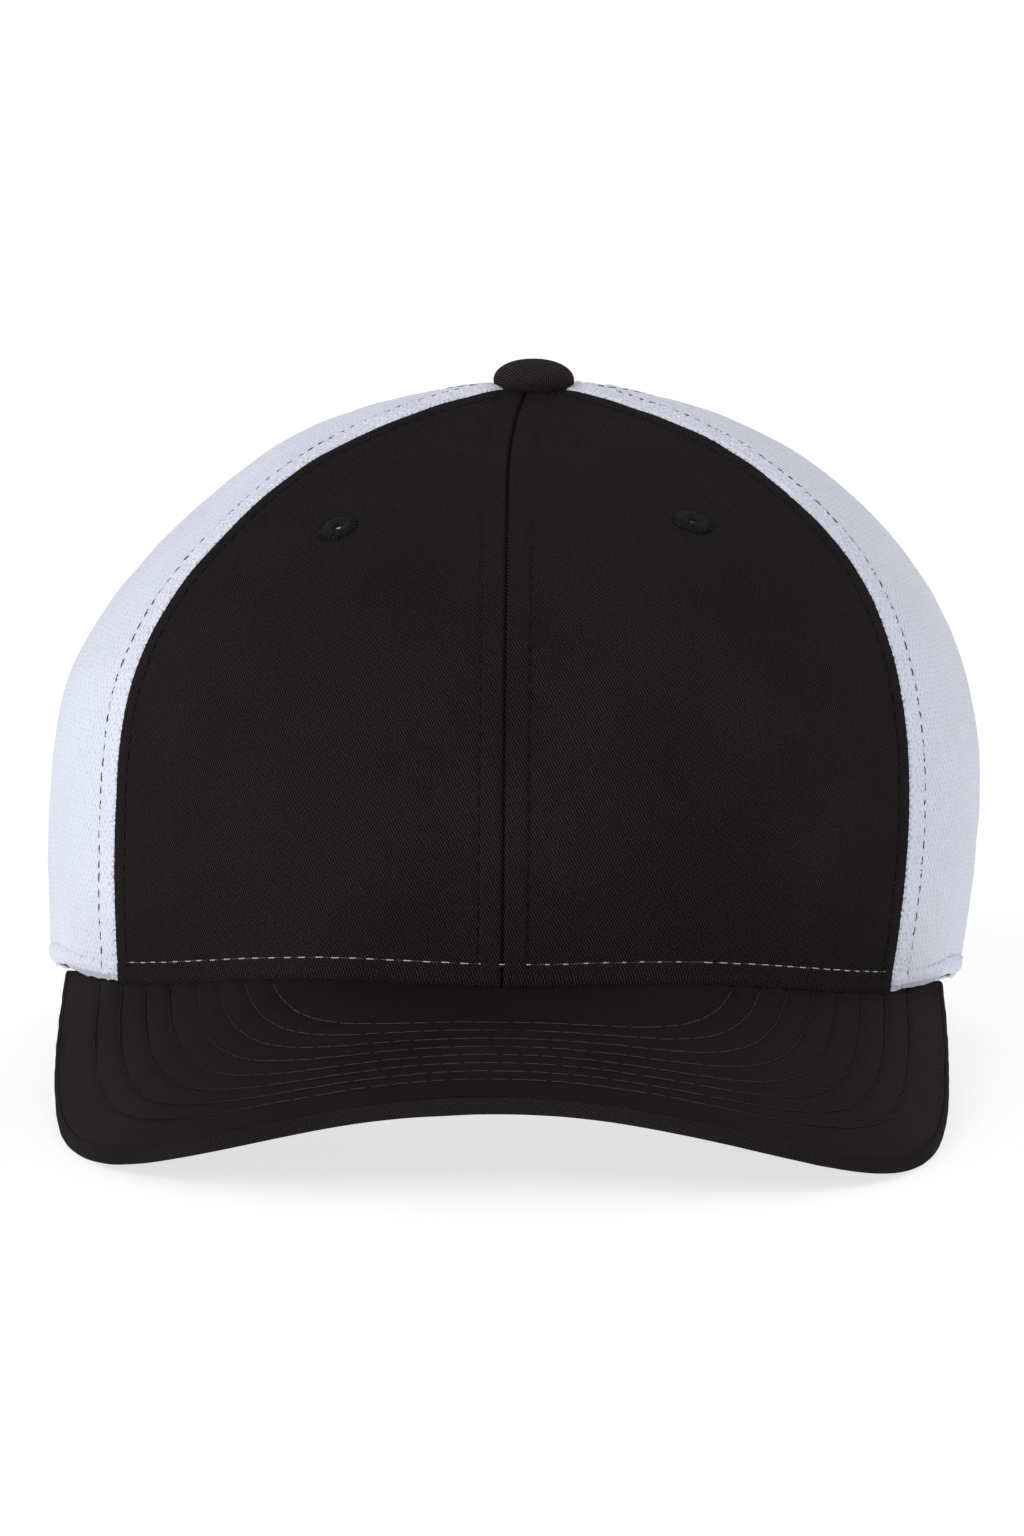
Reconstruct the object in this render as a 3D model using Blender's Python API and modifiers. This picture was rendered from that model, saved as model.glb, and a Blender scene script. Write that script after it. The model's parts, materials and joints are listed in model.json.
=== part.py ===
"""Trucker mesh cap: a six-panel crown, a pre-curved visor and a snap closure at the back.

Lengths are millimetres here and become metres when a mesh is made. The cap is drawn level, with the
plane of its opening at z = 0 and its front towards -Y. The cap_stance empty then leans it back until
it stands on the visor's two corners and the rear edge, with the origin under the middle of its box.
Left and right are the wearer's, so left is +X. An azimuth is an angle round the crown from the front,
positive to the left. A crown height s runs from 0 at the bottom edge to 1 at the apex.
"""

import math
from functools import lru_cache

import bmesh
import bpy
import numpy as np
from mathutils import Matrix, Vector

MM = 0.001
GAP = 0.35  # between pieces that touch on the real cap
LAYER_INSET = 0.4  # how much further an inner layer keeps from a seam or an edge

# Crown, outer surface
APEX = 118.3
WIDEST = 34.7  # height of the widest section
HALF_WIDTH = 91.3
FRONT_REACH = 107.5
REAR_REACH = 104.0
SIDE_TUCK = 2.5  # how far the bottom edge draws in from the widest section
FRONT_TUCK = 2.5
REAR_TUCK = 1.5
DOME_POWERS = (2.15, 0.488)  # side profile: (1 - u ** first) ** second
FRONT_POWERS = (2.85, 1.0)
REAR_POWERS = (2.2, 0.55)
TOP_HOLE = 3.2  # radius left open at the apex for the button's post
LEAN = 0.042  # the soft crown leans to the left by this share of its height

# Seams: azimuth at the bottom edge and at the apex
CENTRE_SEAM = (0.0, math.radians(-4.5))  # it leans to the right of the leaning crown
FRONT_SIDE_SEAM = (math.radians(52.1), math.radians(56.5))
SIDE_REAR_SEAM = (math.radians(117), math.radians(119))
REAR_SEAM = (math.pi, math.pi)

# Layers, as depths below the outer surface of the crown
PANEL_THICKNESS = 0.8
BUCKRAM_DEPTH = 1.35
BUCKRAM_THICKNESS = 0.6
FRONT_TAPE_DEPTH = 2.45
MESH_TAPE_DEPTH = 1.35
TAPE_THICKNESS = 0.5
TAPE_WIDTH = 12.0
TAPE_TAPER = 0.42  # a tape is no wider than twice this share of its distance from the axis
TAPE_TOP = 9.5  # distance from the apex at which tapes and buckram end
SWEATBAND_DEPTH = 3.4
SWEATBAND_THICKNESS = 1.2
SWEATBAND_HEIGHT = 32.0
SWEATBAND_END = math.radians(144)
LABEL_DEPTH = SWEATBAND_DEPTH + SWEATBAND_THICKNESS + GAP
LABEL_THICKNESS = 0.4
LABEL_START = math.radians(-105)
LABEL_SPAN = math.radians(20)
LABEL_BOTTOM = 8.0
LABEL_HEIGHT = 16.0

# Visor
VISOR_LENGTH = 70.0
VISOR_REAR = 31.0  # distance in front of the axis at which its side edges leave the crown
VISOR_HALF_WIDTH = 85.5
VISOR_SQUARENESS = 4.2  # exponent of the superellipse that its edge follows
VISOR_ROOT_HEIGHT = 4.1
VISOR_SLOPE = 0.246
VISOR_ARCH_RADIUS = 154.0
FLANK_RAISE = 3.7  # how much flatter the visor is along its root than along its edge
FLANK_SPREAD = 34.0
FLANK_FADE = 1.5  # times the crown's size, where that ends
FLANK_AZIMUTH, LEVEL_AZIMUTH = math.radians(73), math.radians(115)  # where the edge leaves the visor and is level
VISOR_END = math.radians(69.5)  # azimuth at which its root leaves the front of the crown
VISOR_ROOT_INSET = 1.8
VISOR_SEAM = 0.5  # from the visor's top up to the crown's bottom edge
COVER_THICKNESS = 0.5
COVER_GAP = 0.3  # between a cover and the board
BOARD_THICKNESS = 1.3
VISOR_THICKNESS = 3.2
RIM_RADIUS = 0.8

# Button and eyelets
BUTTON_RADIUS = 7.75
BUTTON_TOP = 122.9
BUTTON_BASE = 118.65
BUTTON_TILT = math.radians(4)
BUTTON_RIM = 0.4  # height of the straight rim under the button's dome
BUTTON_FABRIC = 0.5
SHELL_INSET = 0.85
SHELL_THICKNESS = 0.6
RIVET_HEAD = 5.2
RIVET_HEAD_LOW, RIVET_HEAD_HIGH = 0.2, 0.9  # above the button's base
RIVET_POST = 1.6
WASHER_RADIUS = 6.2
WASHER_DEPTH = 3.8  # below the apex
WASHER_THICKNESS = 0.8
EYELET_PLACES = {1: (31.3, 91.8), -1: (36.5, 89.8)}  # across and up, by side
EYELET_RING = 2.65
EYELET_CORD = 0.95
EYELET_CLEARANCE = 0.4
EYELET_CUT = 12.0

# Rear arch and snap closure
ARCH_HALF_WIDTH = 42.0
ARCH_HEIGHT = 48.0
ARCH_POWER = 2.5
ARCH_CUT = 35.0  # half the depth of its cutter
ARCH_CUT_INSET = 10.0
ARCH_CUT_FOOT = -6.0
BINDING_OVERHANG = 0.2  # how far the binding stays outside the arch's edge
BINDING_FOOT = 1.2
BINDING_WIDTH = 7.0
BINDING_DEPTH = 1.4
BINDING_THICKNESS = 0.55
STRAP_RADIUS = 77.2  # outer face of the outer strap, in plan
STRAP_THICKNESS = 1.2
STRAP_GAP = 0.4
STRAP_BOTTOM = 1.5
STRAP_HEIGHT = 19.0
STRAP_CORNER = 6.0
STRAP_OUTER_DEPTH = 2.4  # outer face of the outer strap behind the rear edge of the crown
HINGE_ANGLE = math.radians(31.2)
HINGE_CLEARANCE = 0.8
SNAP_PITCH = 10.0
SNAP_COUNT = 6
SNAPS_ENGAGED = 4
SNAP_END = 5.2  # from the last snap to the strap's free end
PEG_RADIUS = 2.1
PEG_HEIGHT = 1.7
HOLE_RADIUS = 2.75
HOLE_CUT = 8.0
TAB_LENGTH = 11.0

COLOURS = {
    "black_twill": ((0.018, 0.0145, 0.0145, 1), 0.85, 0),
    "white_mesh": ((0.76, 0.78, 0.88, 1), 0.8, 0),
    "black_tape": ((0.014, 0.012, 0.012, 1), 0.8, 0),
    "white_tape": ((0.72, 0.73, 0.78, 1), 0.8, 0),
    "buckram": ((0.62, 0.61, 0.57, 1), 0.9, 0),
    "black_thread": ((0.02, 0.018, 0.018, 1), 0.6, 0),
    "visor_board": ((0.08, 0.08, 0.085, 1), 0.5, 0),
    "sweatband": ((0.022, 0.02, 0.02, 1), 0.9, 0),
    "snap_plastic": ((0.016, 0.016, 0.017, 1), 0.4, 0),
    "button_metal": ((0.55, 0.55, 0.56, 1), 0.35, 1),
    "label": ((0.8, 0.8, 0.79, 1), 0.7, 0),
}


def clear_scene():
    for obj in list(bpy.data.objects):
        bpy.data.objects.remove(obj, do_unlink=True)


def new_collection(name):
    collection = bpy.data.collections.new(name)
    bpy.context.scene.collection.children.link(collection)
    return collection


@lru_cache(maxsize=None)
def material(name):
    colour, roughness, metallic = COLOURS[name]
    made = bpy.data.materials.new(name)
    made.use_nodes = True
    shader = made.node_tree.nodes["Principled BSDF"]
    shader.inputs["Base Color"].default_value = colour
    shader.inputs["Roughness"].default_value = roughness
    shader.inputs["Metallic"].default_value = metallic
    made.diffuse_color = colour
    return made


def add_object(name, bm, colour, origin=Vector()):
    """Makes an object from a mesh drawn in millimetres in the cap's level frame."""
    bmesh.ops.translate(bm, verts=bm.verts, vec=-origin)
    bmesh.ops.scale(bm, verts=bm.verts, vec=(MM, MM, MM))
    mesh = bpy.data.meshes.new(name)
    bm.to_mesh(mesh)
    bm.free()
    mesh.shade_smooth()
    mesh.set_sharp_from_angle(angle=math.radians(40))
    obj = bpy.data.objects.new(name, mesh)
    obj.location = origin * MM
    obj.parent = STANCE
    if colour is None:
        CUTTERS.objects.link(obj)
        obj.hide_render = True
        obj.display_type = "WIRE"
    else:
        PARTS.objects.link(obj)
        mesh.materials.append(material(colour))
    return obj


def combine(obj, tool, operation):
    modifier = obj.modifiers.new(operation.title(), "BOOLEAN")
    modifier.operation = operation
    modifier.object = tool


# Crown surface


def profile(z, reach, tuck, powers):
    """Distance of the outer surface from the axis at height z, along one of the main directions."""
    up = np.clip((z - WIDEST) / (APEX - WIDEST), 0, 1)
    down = np.clip((WIDEST - z) / WIDEST, 0, None)
    return reach * (1 - up ** powers[0]) ** powers[1] - tuck * down**2


def section_radius(azimuth, z):
    """A horizontal section is an ellipse, with a different depth at the front and at the rear."""
    side = profile(z, HALF_WIDTH, SIDE_TUCK, DOME_POWERS)
    if math.cos(azimuth) > 0:
        depth = profile(z, FRONT_REACH, FRONT_TUCK, FRONT_POWERS)
    else:
        depth = profile(z, REAR_REACH, REAR_TUCK, REAR_POWERS)
    side, depth = np.maximum(side, 1e-6), np.maximum(depth, 1e-6)
    return 1 / np.hypot(math.sin(azimuth) / side, math.cos(azimuth) / depth)


def smooth_step(x, low, high):
    t = min(max((x - low) / (high - low), 0), 1)
    return t * t * (3 - 2 * t)


def visor_height(x, y):
    forward = -y - (FRONT_REACH - FRONT_TUCK)
    outside = math.hypot(x / (HALF_WIDTH - SIDE_TUCK), y / (FRONT_REACH - FRONT_TUCK))
    flank = 1 - math.exp(-((x / FLANK_SPREAD) ** 2))
    flank *= FLANK_RAISE * (1 - smooth_step(outside, 1.0, FLANK_FADE))
    return VISOR_ROOT_HEIGHT - VISOR_SLOPE * forward - x * x / (2 * VISOR_ARCH_RADIUS) + flank


def bottom_edge(azimuth):
    """The crown's bottom edge lies just above the visor at the front, and eases to level at the rear."""
    over = min(abs(azimuth), FLANK_AZIMUTH)
    radius = float(section_radius(over, 0.0))
    over_visor = visor_height(radius * math.sin(over), -radius * math.cos(over)) + VISOR_SEAM
    return over_visor * (1 - smooth_step(abs(azimuth), FLANK_AZIMUTH, LEVEL_AZIMUTH))


@lru_cache(maxsize=None)
def meridian(azimuth):
    """Heights, radii and share of the length from the bottom edge, along one vertical line."""
    low = np.linspace(bottom_edge(azimuth), WIDEST, 16, endpoint=False)
    high = WIDEST + (APEX - WIDEST) * np.sin(np.linspace(0, math.pi / 2, 90))
    z = np.concatenate([low, high])
    r = section_radius(azimuth, z)
    r[-1] = 0
    run = np.concatenate([[0], np.cumsum(np.hypot(np.diff(r), np.diff(z)))])
    return z, r, run / run[-1], run[-1]


def surface(azimuth, s):
    z, r, share, _ = meridian(azimuth)
    radius, height = np.interp(s, share, r), np.interp(s, share, z)
    return Vector((radius * math.sin(azimuth) + LEAN * height, -radius * math.cos(azimuth), height))


def crown_point(azimuth, s, depth=0.0):
    """The point at that depth under the crown's outer surface."""
    step = 0.004
    around = surface(azimuth + step, s) - surface(azimuth - step, s)
    along = surface(azimuth, min(s + step, 1)) - surface(azimuth, max(s - step, 0))
    return surface(azimuth, s) - around.cross(along).normalized() * depth


def share_below_apex(azimuth, distance):
    return 1 - distance / meridian(azimuth)[3]


def share_above_edge(azimuth, distance):
    return distance / meridian(azimuth)[3]


def seam_azimuth(seam, s):
    return seam[0] + (seam[1] - seam[0]) * s


# Sheets


def sheet(name, colour, columns, rows, place, thickness, outward, origin=Vector()):
    """A grid laid out by place(u, v), with its faces turned outward, thickened behind them."""
    bm = bmesh.new()
    bmesh.ops.create_grid(bm, x_segments=columns, y_segments=rows, size=0.5)
    for vert in bm.verts:
        vert.co = place(vert.co.x + 0.5, vert.co.y + 0.5)
    bm.normal_update()
    middle = sum((f.normal.dot(outward(f.calc_center_median())) for f in bm.faces), 0.0)
    if middle < 0:
        bmesh.ops.reverse_faces(bm, faces=bm.faces)
    obj = add_object(name, bm, colour, origin)
    solid = obj.modifiers.new("Solidify", "SOLIDIFY")
    solid.thickness = thickness * MM
    solid.offset = -1
    return obj


def from_axis(point):
    return Vector((point.x, point.y, max(point.z - WIDEST, 0)))


def crown_panel(name, colour, first, last, depth, thickness, columns, rows, low=0.0, high=TOP_HOLE):
    """A panel between two seams, from low above the bottom edge to high before the apex."""

    def place(u, v):
        edge = GAP / 2 + (depth > 0) * LAYER_INSET
        rough = seam_azimuth(first, v) * (1 - u) + seam_azimuth(last, v) * u
        bottom, top = share_above_edge(rough, low), share_below_apex(rough, high)
        s = bottom + (top - bottom) * v
        radius = max(math.hypot(*surface(rough, s).xy), 1)
        start = seam_azimuth(first, s) + edge / radius
        end = seam_azimuth(last, s) - edge / radius
        return crown_point(start * (1 - u) + end * u, s, depth)

    return sheet(name, colour, columns, rows, place, thickness, from_axis)


def seam_tape(name, colour, seam, depth, low=2.0, rows=14):
    """A tape along the inside of a seam, which narrows towards the apex."""

    def place(u, v):
        bottom = share_above_edge(seam[0], low)
        s = bottom + (share_below_apex(seam[1], TAPE_TOP) - bottom) * v
        middle = seam_azimuth(seam, s)
        radius = math.hypot(*surface(middle, s).xy)
        half = min(TAPE_WIDTH / 2, TAPE_TAPER * radius)
        return crown_point(middle + (2 * u - 1) * half / radius, s, depth)

    return sheet(name, colour, 2, rows, place, TAPE_THICKNESS, from_axis)


def mirrored(seam):
    return (-seam[0], -seam[1])


def make_panels():
    centre = CENTRE_SEAM
    sides = {
        "left": ((centre, FRONT_SIDE_SEAM), (FRONT_SIDE_SEAM, SIDE_REAR_SEAM), (SIDE_REAR_SEAM, REAR_SEAM)),
        "right": (
            (mirrored(FRONT_SIDE_SEAM), centre),
            (mirrored(SIDE_REAR_SEAM), mirrored(FRONT_SIDE_SEAM)),
            (mirrored(REAR_SEAM), mirrored(SIDE_REAR_SEAM)),
        ),
    }
    eyelet_holes = make_eyelet_cutters()
    arch = make_arch_cutter()
    for side, (front, flank, rear) in sides.items():
        panel = crown_panel(f"front_panel_{side}", "black_twill", *front, 0, PANEL_THICKNESS, 10, 16)
        combine(panel, eyelet_holes, "DIFFERENCE")
        backing = crown_panel(
            f"front_buckram_{side}", "buckram", *front, BUCKRAM_DEPTH, BUCKRAM_THICKNESS, 8, 14, 2, TAPE_TOP
        )
        combine(backing, eyelet_holes, "DIFFERENCE")
        crown_panel(f"side_mesh_panel_{side}", "white_mesh", *flank, 0, PANEL_THICKNESS, 11, 16)
        panel = crown_panel(f"rear_mesh_panel_{side}", "white_mesh", *rear, 0, PANEL_THICKNESS, 11, 16)
        combine(panel, arch, "DIFFERENCE")


def make_seam_tapes():
    seam_tape("seam_tape_front_centre", "black_tape", CENTRE_SEAM, FRONT_TAPE_DEPTH)
    for side, turn in (("left", tuple), ("right", mirrored)):
        front, rear = turn(FRONT_SIDE_SEAM), turn(SIDE_REAR_SEAM)
        seam_tape(f"seam_tape_front_side_{side}", "black_tape", front, FRONT_TAPE_DEPTH)
        seam_tape(f"seam_tape_side_rear_{side}", "white_tape", rear, MESH_TAPE_DEPTH)
    above_arch = ARCH_HEIGHT + BINDING_WIDTH + 2
    seam_tape("seam_tape_rear_centre", "white_tape", REAR_SEAM, MESH_TAPE_DEPTH, above_arch, 8)


def make_sweatband():
    def place(u, v):
        azimuth = SWEATBAND_END * (2 * u - 1)
        height = share_above_edge(azimuth, 1 + SWEATBAND_HEIGHT * v)
        return crown_point(azimuth, height, SWEATBAND_DEPTH)

    sheet("sweatband", "sweatband", 40, 2, place, SWEATBAND_THICKNESS, from_axis)


def make_label():
    """A blank label on the inside of the sweatband, at the wearer's right."""

    def place(u, v):
        azimuth = LABEL_START + LABEL_SPAN * u
        height = LABEL_BOTTOM + LABEL_HEIGHT * v
        return crown_point(azimuth, share_above_edge(azimuth, height), LABEL_DEPTH)

    sheet("care_label", "label", 5, 2, place, LABEL_THICKNESS, from_axis)


# Eyelets


def eyelet_frame(side):
    """Where an eyelet sits, and its turn from +Z to the crown's normal there."""
    across, up = EYELET_PLACES[side]
    a = float(profile(up, HALF_WIDTH, 0, DOME_POWERS))
    f = float(profile(up, FRONT_REACH, 0, FRONT_POWERS))
    y = -f * math.sqrt(1 - (across / a) ** 2)
    azimuth = math.atan2(side * across, -y)
    z, _, share, _ = meridian(azimuth)
    s = float(np.interp(up, z, share))
    outer, inner = crown_point(azimuth, s), crown_point(azimuth, s, 1.0)
    turn = (outer - inner).to_track_quat("Z", "Y").to_matrix().to_4x4()
    return Matrix.Translation(outer) @ turn


def make_eyelet_cutters():
    bm = bmesh.new()
    radius = EYELET_RING + EYELET_CORD + EYELET_CLEARANCE
    for side in (1, -1):
        bmesh.ops.create_cone(
            bm,
            cap_ends=True,
            segments=20,
            radius1=radius,
            radius2=radius,
            depth=EYELET_CUT,
            matrix=eyelet_frame(side),
        )
    return add_object("eyelet_cutters", bm, None)


def make_eyelets():
    """An embroidered ring round each ventilation hole."""
    for name, side in (("eyelet_left", 1), ("eyelet_right", -1)):
        profile_points = [
            (
                EYELET_RING + EYELET_CORD * math.cos(turn),
                -PANEL_THICKNESS / 2 + EYELET_CORD * math.sin(turn),
            )
            for turn in np.linspace(math.pi / 2, -1.5 * math.pi, 8, endpoint=False)
        ]
        ring = turned(name, "black_thread", profile_points, 18, closed=True)
        ring.matrix_local = Matrix.Translation(eyelet_frame(side).translation * MM) @ (
            eyelet_frame(side).to_quaternion().to_matrix().to_4x4()
        )


# Turned pieces


def turned(name, colour, points, steps, closed=False):
    """A profile of (radius, height) points, outer side first from top to bottom, turned round Z."""
    bm = bmesh.new()
    verts = [bm.verts.new((radius, 0, height)) for radius, height in points]
    for one, other in zip(verts, verts[1:]):
        bm.edges.new((one, other))
    if closed:
        bm.edges.new((verts[-1], verts[0]))
    obj = add_object(name, bm, colour)
    screw = obj.modifiers.new("Screw", "SCREW")
    screw.steps = steps
    screw.render_steps = steps
    screw.use_merge_vertices = True
    screw.merge_threshold = 0.00001
    screw.use_smooth_shade = True
    return obj


def dome(radius, base, top, points=6):
    """An elliptical dome from its top on the axis down to its rim."""
    angles = np.linspace(math.pi / 2, 0, points)
    return [(radius * math.cos(t), base + (top - base) * math.sin(t)) for t in angles]


def capped_dome(radius, top, thickness):
    """A dome of even thickness on a short straight rim, from the outside in."""
    foot = BUTTON_BASE + BUTTON_RIM
    rim = [(radius, BUTTON_BASE), (radius - thickness, BUTTON_BASE)]
    return dome(radius, foot, top) + rim + dome(radius - thickness, foot, top - thickness)[::-1]


def make_button():
    """The covered button: fabric over a metal cup, and the post that holds both to the crown."""
    cover = capped_dome(BUTTON_RADIUS, BUTTON_TOP, BUTTON_FABRIC)
    shell = capped_dome(BUTTON_RADIUS - SHELL_INSET, BUTTON_TOP - SHELL_INSET, SHELL_THICKNESS)
    washer_top = APEX - WASHER_DEPTH
    rivet = [
        (0, BUTTON_BASE + RIVET_HEAD_HIGH),
        (RIVET_HEAD, BUTTON_BASE + RIVET_HEAD_HIGH),
        (RIVET_HEAD, BUTTON_BASE + RIVET_HEAD_LOW),
        (RIVET_POST, BUTTON_BASE + RIVET_HEAD_LOW),
        (RIVET_POST, washer_top),
        (WASHER_RADIUS, washer_top),
        (WASHER_RADIUS, washer_top - WASHER_THICKNESS),
        (0, washer_top - WASHER_THICKNESS),
    ]
    tilt = Matrix.Rotation(BUTTON_TILT, 4, "X")
    apex = Matrix.Translation((0, 0, APEX * MM))
    lean = Matrix.Translation((LEAN * APEX * MM, 0, 0))
    for name, colour, points, steps in (
        ("button_cover", "black_twill", cover, 22),
        ("button_shell", "button_metal", shell, 18),
        ("button_rivet", "button_metal", rivet, 16),
    ):
        obj = turned(name, colour, points, steps)
        obj.matrix_local = lean @ apex @ tilt @ apex.inverted()


# Visor


@lru_cache(maxsize=None)
def visor_edge():
    """The outer edge in plan, from right to left, and each point's share of its length."""
    length = FRONT_REACH - FRONT_TUCK + VISOR_LENGTH - VISOR_REAR
    angles = np.linspace(-math.pi / 2, math.pi / 2, 721)
    power = 2 / VISOR_SQUARENESS
    x = VISOR_HALF_WIDTH * np.sign(angles) * np.abs(np.sin(angles)) ** power
    y = -VISOR_REAR - length * np.abs(np.cos(angles)) ** power
    run = np.concatenate([[0], np.cumsum(np.hypot(np.diff(x), np.diff(y)))])
    return x, y, run / run[-1]


def visor_edge_point(across, inset):
    """The edge's plan point at across (0 right, 1 left), drawn in by inset."""
    x, y, share = visor_edge()

    def at(t):
        return Vector((np.interp(t, share, x), np.interp(t, share, y)))

    along = (at(min(across + 0.002, 1)) - at(max(across - 0.002, 0))).normalized()
    return at(across) + Vector((-along.y, along.x)) * inset


def visor_root_point(across):
    azimuth = VISOR_END * (2 * across - 1)
    return Vector(
        (
            (HALF_WIDTH - SIDE_TUCK - VISOR_ROOT_INSET) * math.sin(azimuth),
            -(FRONT_REACH - FRONT_TUCK - VISOR_ROOT_INSET) * math.cos(azimuth),
        )
    )


def visor_point(across, out, inset, drop):
    """A point under the visor's top, out = 0 at the crown and 1 at the edge."""
    plan = visor_root_point(across).lerp(visor_edge_point(across, inset), out)
    return Vector((plan.x, plan.y, visor_height(plan.x, plan.y) - drop))


def make_visor():
    columns, rows = 30, 5
    rim = [(math.pi / 4, 0.0), (math.pi / 2, 0.0), (math.pi / 2, VISOR_THICKNESS - RIM_RADIUS)]

    def top_cover(u, v):
        row = round(v * (rows + len(rim)))
        if row <= rows:
            return visor_point(u, row / rows, RIM_RADIUS, 0)
        turn, down = rim[row - rows - 1]
        plan = visor_edge_point(u, RIM_RADIUS * (1 - math.sin(turn)))
        flat = visor_edge_point(u, RIM_RADIUS)
        height = visor_height(flat.x, flat.y) - RIM_RADIUS * (1 - math.cos(turn)) - down
        return Vector((plan.x, plan.y, height))

    def layer(drop):
        inset = COVER_THICKNESS + GAP + LAYER_INSET
        return lambda u, v: visor_point(u, v, inset, drop)

    def upward(_):
        return Vector((0, 0, 1))

    sheet("visor_top_cover", "black_twill", columns, rows + len(rim), top_cover, COVER_THICKNESS, upward)
    board_drop = COVER_THICKNESS + COVER_GAP
    sheet("visor_board", "visor_board", columns, rows, layer(board_drop), BOARD_THICKNESS, upward)
    under = layer(board_drop + BOARD_THICKNESS + COVER_GAP)
    sheet("visor_under_cover", "black_twill", columns, rows, under, COVER_THICKNESS, upward)


# Rear arch and snap closure


def arch_point(turn, grow=0.0):
    """A point of the arch in the XZ plane, with its two legs running straight down."""
    cos, sin = math.cos(turn), math.sin(turn)
    power = 2 / ARCH_POWER
    x = ARCH_HALF_WIDTH * math.copysign(abs(cos) ** power, cos)
    z = ARCH_HEIGHT * abs(sin) ** power
    normal = Vector((cos / ARCH_HALF_WIDTH, sin / ARCH_HEIGHT)).normalized()
    return x + normal.x * grow, z + normal.y * grow


def rear_y(x, z, depth):
    side = float(profile(z, HALF_WIDTH, SIDE_TUCK, DOME_POWERS)) - depth
    reach = float(profile(z, REAR_REACH, REAR_TUCK, REAR_POWERS)) - depth
    return reach * math.sqrt(1 - (x / side) ** 2)


def make_arch_cutter():
    outline = bpy.data.curves.new("arch_cutter", "CURVE")
    outline.dimensions = "2D"
    outline.fill_mode = "BOTH"
    outline.extrude = ARCH_CUT * MM
    points = [(ARCH_HALF_WIDTH, ARCH_CUT_FOOT)]
    points += [arch_point(turn) for turn in np.linspace(0, math.pi, 25)]
    points += [(-ARCH_HALF_WIDTH, ARCH_CUT_FOOT)]
    spline = outline.splines.new("POLY")
    spline.points.add(len(points) - 1)
    for point, (x, z) in zip(spline.points, points):
        point.co = (x * MM, z * MM, 0, 1)
    spline.use_cyclic_u = True
    drawn = bpy.data.objects.new("arch_outline", outline)
    CUTTERS.objects.link(drawn)
    mesh = bpy.data.meshes.new_from_object(drawn.evaluated_get(bpy.context.evaluated_depsgraph_get()))
    bpy.data.objects.remove(drawn, do_unlink=True)
    bm = bmesh.new()
    bm.from_mesh(mesh)
    bmesh.ops.remove_doubles(bm, verts=bm.verts, dist=0.00001)
    bmesh.ops.rotate(bm, verts=bm.verts, cent=(0, 0, 0), matrix=Matrix.Rotation(math.pi / 2, 3, "X"))
    bmesh.ops.scale(bm, verts=bm.verts, vec=(1 / MM, 1 / MM, 1 / MM))
    bmesh.ops.translate(bm, verts=bm.verts, vec=(0, REAR_REACH - ARCH_CUT_INSET, 0))
    for vert in bm.verts:
        vert.co.x += LEAN * vert.co.z
    bmesh.ops.recalc_face_normals(bm, faces=bm.faces)
    return add_object("arch_cutter", bm, None)


def make_arch_binding():
    """The tape that binds the arch's edge, on the inside of the rear panels."""

    def place(u, v):
        x, z = arch_point(math.pi * u, BINDING_OVERHANG + BINDING_WIDTH * v)
        z = max(z, BINDING_FOOT)
        return Vector((x + LEAN * z, rear_y(x, z, BINDING_DEPTH), z))

    sheet("arch_binding", "white_tape", 30, 2, place, BINDING_THICKNESS, from_axis)


def strap_centre():
    edge = REAR_REACH - REAR_TUCK
    return edge - STRAP_OUTER_DEPTH - STRAP_RADIUS


def strap_point(angle, z, radius):
    return Vector((radius * math.sin(angle), strap_centre() + radius * math.cos(angle), z))


def strap_sheet(name, side, start, end, radius, round_end, origin):
    """A strip of strap between two angles from the centre of the back, end being the free one."""
    columns = 20 if round_end else 4
    middle = STRAP_BOTTOM + STRAP_HEIGHT / 2

    def place(u, v):
        angle = start + (end - start) * u
        to_end = abs(end - angle) * radius
        half = STRAP_HEIGHT / 2
        if round_end and to_end < STRAP_CORNER:
            half += math.sqrt(STRAP_CORNER**2 - (STRAP_CORNER - to_end) ** 2) - STRAP_CORNER
        return strap_point(side * angle, middle + half * (2 * v - 1), radius)

    def outward(point):
        return Vector((point.x, point.y - strap_centre(), 0))

    return sheet(name, "snap_plastic", columns, 4, place, STRAP_THICKNESS, outward, origin)


def snap_studs(name, side, radius, size, depth, origin):
    """Cylinders on the snaps' places, for holes or pegs, pointing out from the strap."""
    bm = bmesh.new()
    pitch = SNAP_PITCH / STRAP_RADIUS
    for index in range(SNAP_COUNT):
        angle = side * pitch * (index - (SNAPS_ENGAGED - 1) / 2)
        place = strap_point(angle, STRAP_BOTTOM + STRAP_HEIGHT / 2, radius)
        outward = Vector((math.sin(angle), math.cos(angle), 0))
        turn = outward.to_track_quat("Z", "Y").to_matrix().to_4x4()
        bmesh.ops.create_cone(
            bm,
            cap_ends=True,
            segments=14,
            radius1=size,
            radius2=size,
            depth=depth,
            matrix=Matrix.Translation(place) @ turn,
        )
    return add_object(name, bm, None, origin)


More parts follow.
